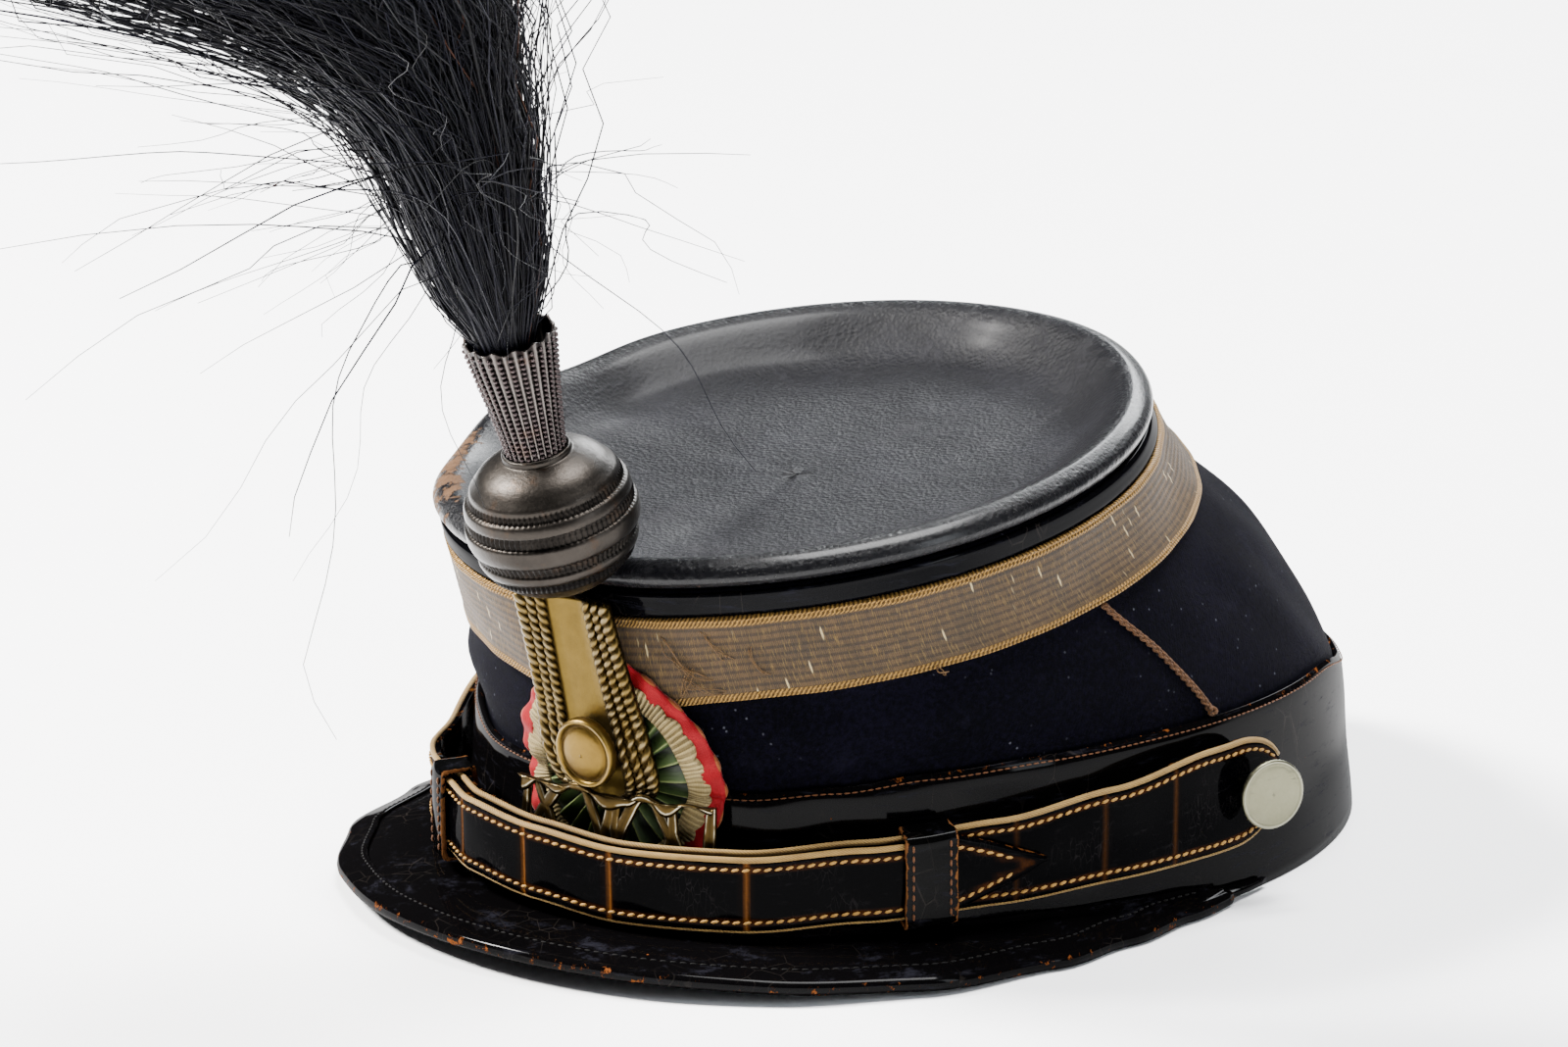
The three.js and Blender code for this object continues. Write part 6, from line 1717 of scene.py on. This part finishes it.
def make_strap(name, node, side, seat, width, tip, creases):
    """One half of the strap with its piping and stitches: side 1 is buttoned on the left."""
    end = side * STRAP_END
    share = np.linspace(0, 1, 220)
    eased = 0.5 - 0.5 * np.cos(math.pi * share)
    angle = tip + (end - tip) * (share * 0.65 + eased * 0.35)
    for place, _ in creases:
        angle = np.append(angle, place + np.array([-0.5, -0.2, 0.0, 0.2, 0.5]))
    angle = np.sort(angle)[::side, None]
    half = strap_half_width(side, tip, width, angle)
    inner = strap_seat(side, seat, angle)
    edge_across = [1.0, 1.0, 0.985, 0.94, 0.87, 0.82, 0.78, 0.74, 0.7, 0.66, 0.6, 0.45, 0.15]
    edge_rise = [0.15, 0.9, 1.5, 1.85, 1.96, 1.95, 1.92, 1.88, 1.92, 1.96, 1.98, 2.0, 2.04]
    across = np.array([-place for place in edge_across] + edge_across[::-1])[None, :]
    rise = np.array(edge_rise + edge_rise[::-1])[None, :]
    soft = 0.14 * np.sin(angle * 0.55 + across * 2) * (1 - across ** 2)
    crease = np.zeros_like(angle)
    for place, depth in creases:
        crease = np.maximum(crease, depth * np.exp(-(((angle - place) / 0.25) ** 2)))
    dip = 0.28 * crease * (1 - 0.5 * across ** 2)
    outer = strap_point(angle, across * half, inner + rise + soft - dip)
    under = strap_point(angle, across * half * 0.995, inner + 0.05)
    wear = 0.9 * smooth(np.abs(across), 0.93, 1.0) + 0.35 * np.exp(-(((angle - tip) / 5) ** 2))
    from_stitches = np.abs((1 - np.abs(across)) * half - STITCH_INSET)
    patches = 0.6 + 0.4 * np.sin(angle * 1.3) * np.sin(angle * 0.37)
    stain = 0.9 * smooth(from_stitches, 0.75, 0.25) * patches
    made = shell(name, outer, under, strap_patent, flat_uv(angle * 1.6, across * half), False,
                 {"wear": wear, "crease": crease, "stain": stain})
    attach(made, "root")
    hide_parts(node)
    run = np.linspace(tip, end, 280)
    keep = slice(20 if seat else 4, -2)
    wide = strap_half_width(side, tip, width, run)
    lies = strap_seat(side, seat, run)
    top_line = strap_point(run, wide - 0.15, lies + 1.55)[keep]
    foot_line = strap_point(run, -wide + 0.05, lies + 1.35)[keep]
    piping = merged(f"{name}_piping", [tube(top_line, 0.6, 9), tube(foot_line, 0.33, 7)], piping_cream)
    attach(piping, "root")
    inset = np.maximum(wide - STITCH_INSET, wide * 0.25)
    for edge, edge_name in ((-1, "low"), (1, "high")):
        row = strap_point(run, edge * inset, lies + 2.08)[7:-4]
        stitches = run_of_stitches(f"{name}_stitches_{edge_name}", row, band_normal(run)[7:-4],
                                   stitch_orange, 2.05, 1.7, 0.32, 0.24)
        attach(stitches, "root")


# The creases are given by their angle and depth.
make_strap("strap_under_leather", "strap_under", 1, 0.0, STRAP_WIDTH + 1.2, -36,
           [(58, 0.15), (69, 0.2), (78.5, 0.25)])
make_strap("strap_over_leather", "strap_over", -1, 2.6, STRAP_WIDTH, 61,
           [(-60, 0.8), (-34, 0.9), (-14, 0.6), (-2, 1.0), (10.5, 1.0), (27, 1.0)])

# Keepers: leather loops that hold both halves of the strap together, rubbed brown along their edges,
# with a row of stitches near each edge.
KEEPER_WIDTH = 10.0
KEEPER_FACE = 6.3  # how far out its outer face lies
KEEPER_ALONG = 26
KEEPER_ROUND = 60
KEEPER_LOOP = [  # place across as a share of the half height, how far out in millimetres
    (-1.0, -0.3), (-1.02, 1.0), (-1.02, 3.2), (-1.0, 4.6), (-0.9, 5.1), (-0.6, 5.25), (0.0, 5.3),
    (0.6, 5.25), (0.9, 5.1), (1.0, 4.6), (1.02, 3.2), (1.02, 1.0), (1.0, -0.3), (0.8, -0.55),
    (0.0, -0.6), (-0.8, -0.55), (-1.0, -0.3)]
keeper_patent = patent_leather("keeper_patent", (3, 3, 3), (104, 62, 34), 2.0)


def make_keeper(name, node, middle_angle):
    """A loop from an outer and an inner ring, its ends ragged, with a row of stitches near each end."""
    span = math.degrees(KEEPER_WIDTH / (HEAD_LENGTH / 2))
    angle = np.linspace(middle_angle - span / 2, middle_angle + span / 2, KEEPER_ALONG)[:, None]
    half = STRAP_WIDTH / 2 + 1.3
    loop = resampled(line_through(KEEPER_LOOP, 5)[None], KEEPER_ROUND + 1)[0][0, :-1]
    place = np.arange(KEEPER_ROUND)
    ends = np.linspace(-1, 1, KEEPER_ALONG)[:, None]
    ragged = 0.28 * np.sin(place * 1.7) * np.sin(place * 0.61)
    turn = angle + ends * ragged[None, :] * 0.35
    soft = 0.12 * np.sin(place * 0.5)[None, :] * np.cos(ends * 2)
    across = loop[None, :, 0] * half
    out = loop[None, :, 1]
    thick = 0.95 * np.sign(out - 2.3) * smooth(np.abs(out - 2.3), 0.5, 2.4)
    outer = strap_point(turn, across * 1.06, out + thick + soft)
    inner = strap_point(turn, across * 0.99, out)
    ring = np.concatenate([outer, inner[::-1]], 0)
    edge = np.broadcast_to(np.abs(ends) ** 6, (KEEPER_ALONG, KEEPER_ROUND))
    uv = flat_uv(np.concatenate([angle, angle[::-1]]) * 1.7, place * 0.7)
    made = mesh_piece(name, ring, [grid_faces(KEEPER_ALONG * 2, KEEPER_ROUND, True, True)], keeper_patent,
                      uv, {"wear": np.concatenate([edge, edge[::-1]], 0)})
    outward(made)
    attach(made, "root")
    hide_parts(node)
    line = np.linspace(-0.88, 0.88, 60)
    for index, share in enumerate((-0.36, 0.36)):
        at = np.full(60, middle_angle + share * span)
        row = strap_point(at, line * half, KEEPER_FACE)
        stitches = run_of_stitches(f"{name}_stitches_{index + 1}", row, band_normal(at), brown_thread,
                                   1.9, 1.5, 0.26)
        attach(stitches, "root")


make_keeper("keeper_left_leather", "keeper_left", 47.5)
make_keeper("keeper_right_leather", "keeper_right", -22.0)

# Side buttons: flat discs of pale silvered metal on a shank, turned a little towards the front, with
# a thin bright rim.
BUTTON_ANGLE = 91.0
BUTTON_SWING = 20.0  # degrees that the button faces more to the front than its seat
BUTTON_ROWS = [  # radius and height, from the middle of the face over the rim to the shank's foot
    (0.1, 4.55), (3.0, 4.6), (5.2, 4.52), (5.9, 4.42), (6.25, 4.5), (6.6, 4.52), (6.85, 4.3), (6.9, 3.9),
    (6.6, 3.4), (5.6, 3.1), (2.2, 2.9), (1.7, 2.5), (1.7, 0.4), (2.1, 0.05)]
button_line = line_through(BUTTON_ROWS, 4)
button_high = np.interp(np.arange(len(button_line)), [0, 10, 14, 18, 24, 52],
                        [0.5, 0.45, 0.2, 1.0, 0.6, 0.2])


def button_metal():
    """Pale silvered metal, cloudy and scratched, darker in the groove by the rim."""
    surface = Surface("button_pewter")
    mm = surface.mm
    cloud = mm.noise(0.16, 4, 0.6)
    fine = mm.noise(1.6, 5, 0.7)
    high = surface.attribute("raised")
    scratch = mm.noise(0.6, 5, 0.8, (0.3, 0.3, 2.5)).step(0.58, 0.72)
    base = (cloud * 0.7 + fine * 0.3).mix(colour(128, 126, 98), colour(190, 188, 158))
    base = (high.step(0.3, 0.1) * 0.7).mix(base, colour(92, 88, 70))
    base = (high.step(0.85, 1.0) * 0.6).mix(base, colour(232, 230, 210))
    base = (scratch * 0.35).mix(base, colour(110, 106, 90))
    rough = cloud * 0.2 + scratch * 0.2 + 0.3
    return surface.feed(Base_Color=base, Metallic=1.0 - scratch * 0.3, Roughness=rough,
                        Normal=surface.bump((cloud * 0.35, 0.5), (scratch * 0.06, 0.6)))


pewter = button_metal()
for side, side_name in ((1, "left"), (-1, "right")):
    angle = np.array(side * BUTTON_ANGLE)
    facing = band_normal(angle)
    swing = math.radians(-side * BUTTON_SWING)
    turned_facing = np.array([facing[0] * math.cos(swing) - facing[1] * math.sin(swing),
                              facing[0] * math.sin(swing) + facing[1] * math.cos(swing), facing[2]])
    button = revolved(f"button_{side_name}_metal", button_line, strap_point(angle, 0.0, 3.2), turned_facing,
                      pewter, 48, values={"raised": button_high[None, :]})
    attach(button, "root")
    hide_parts(f"button_{side_name}")
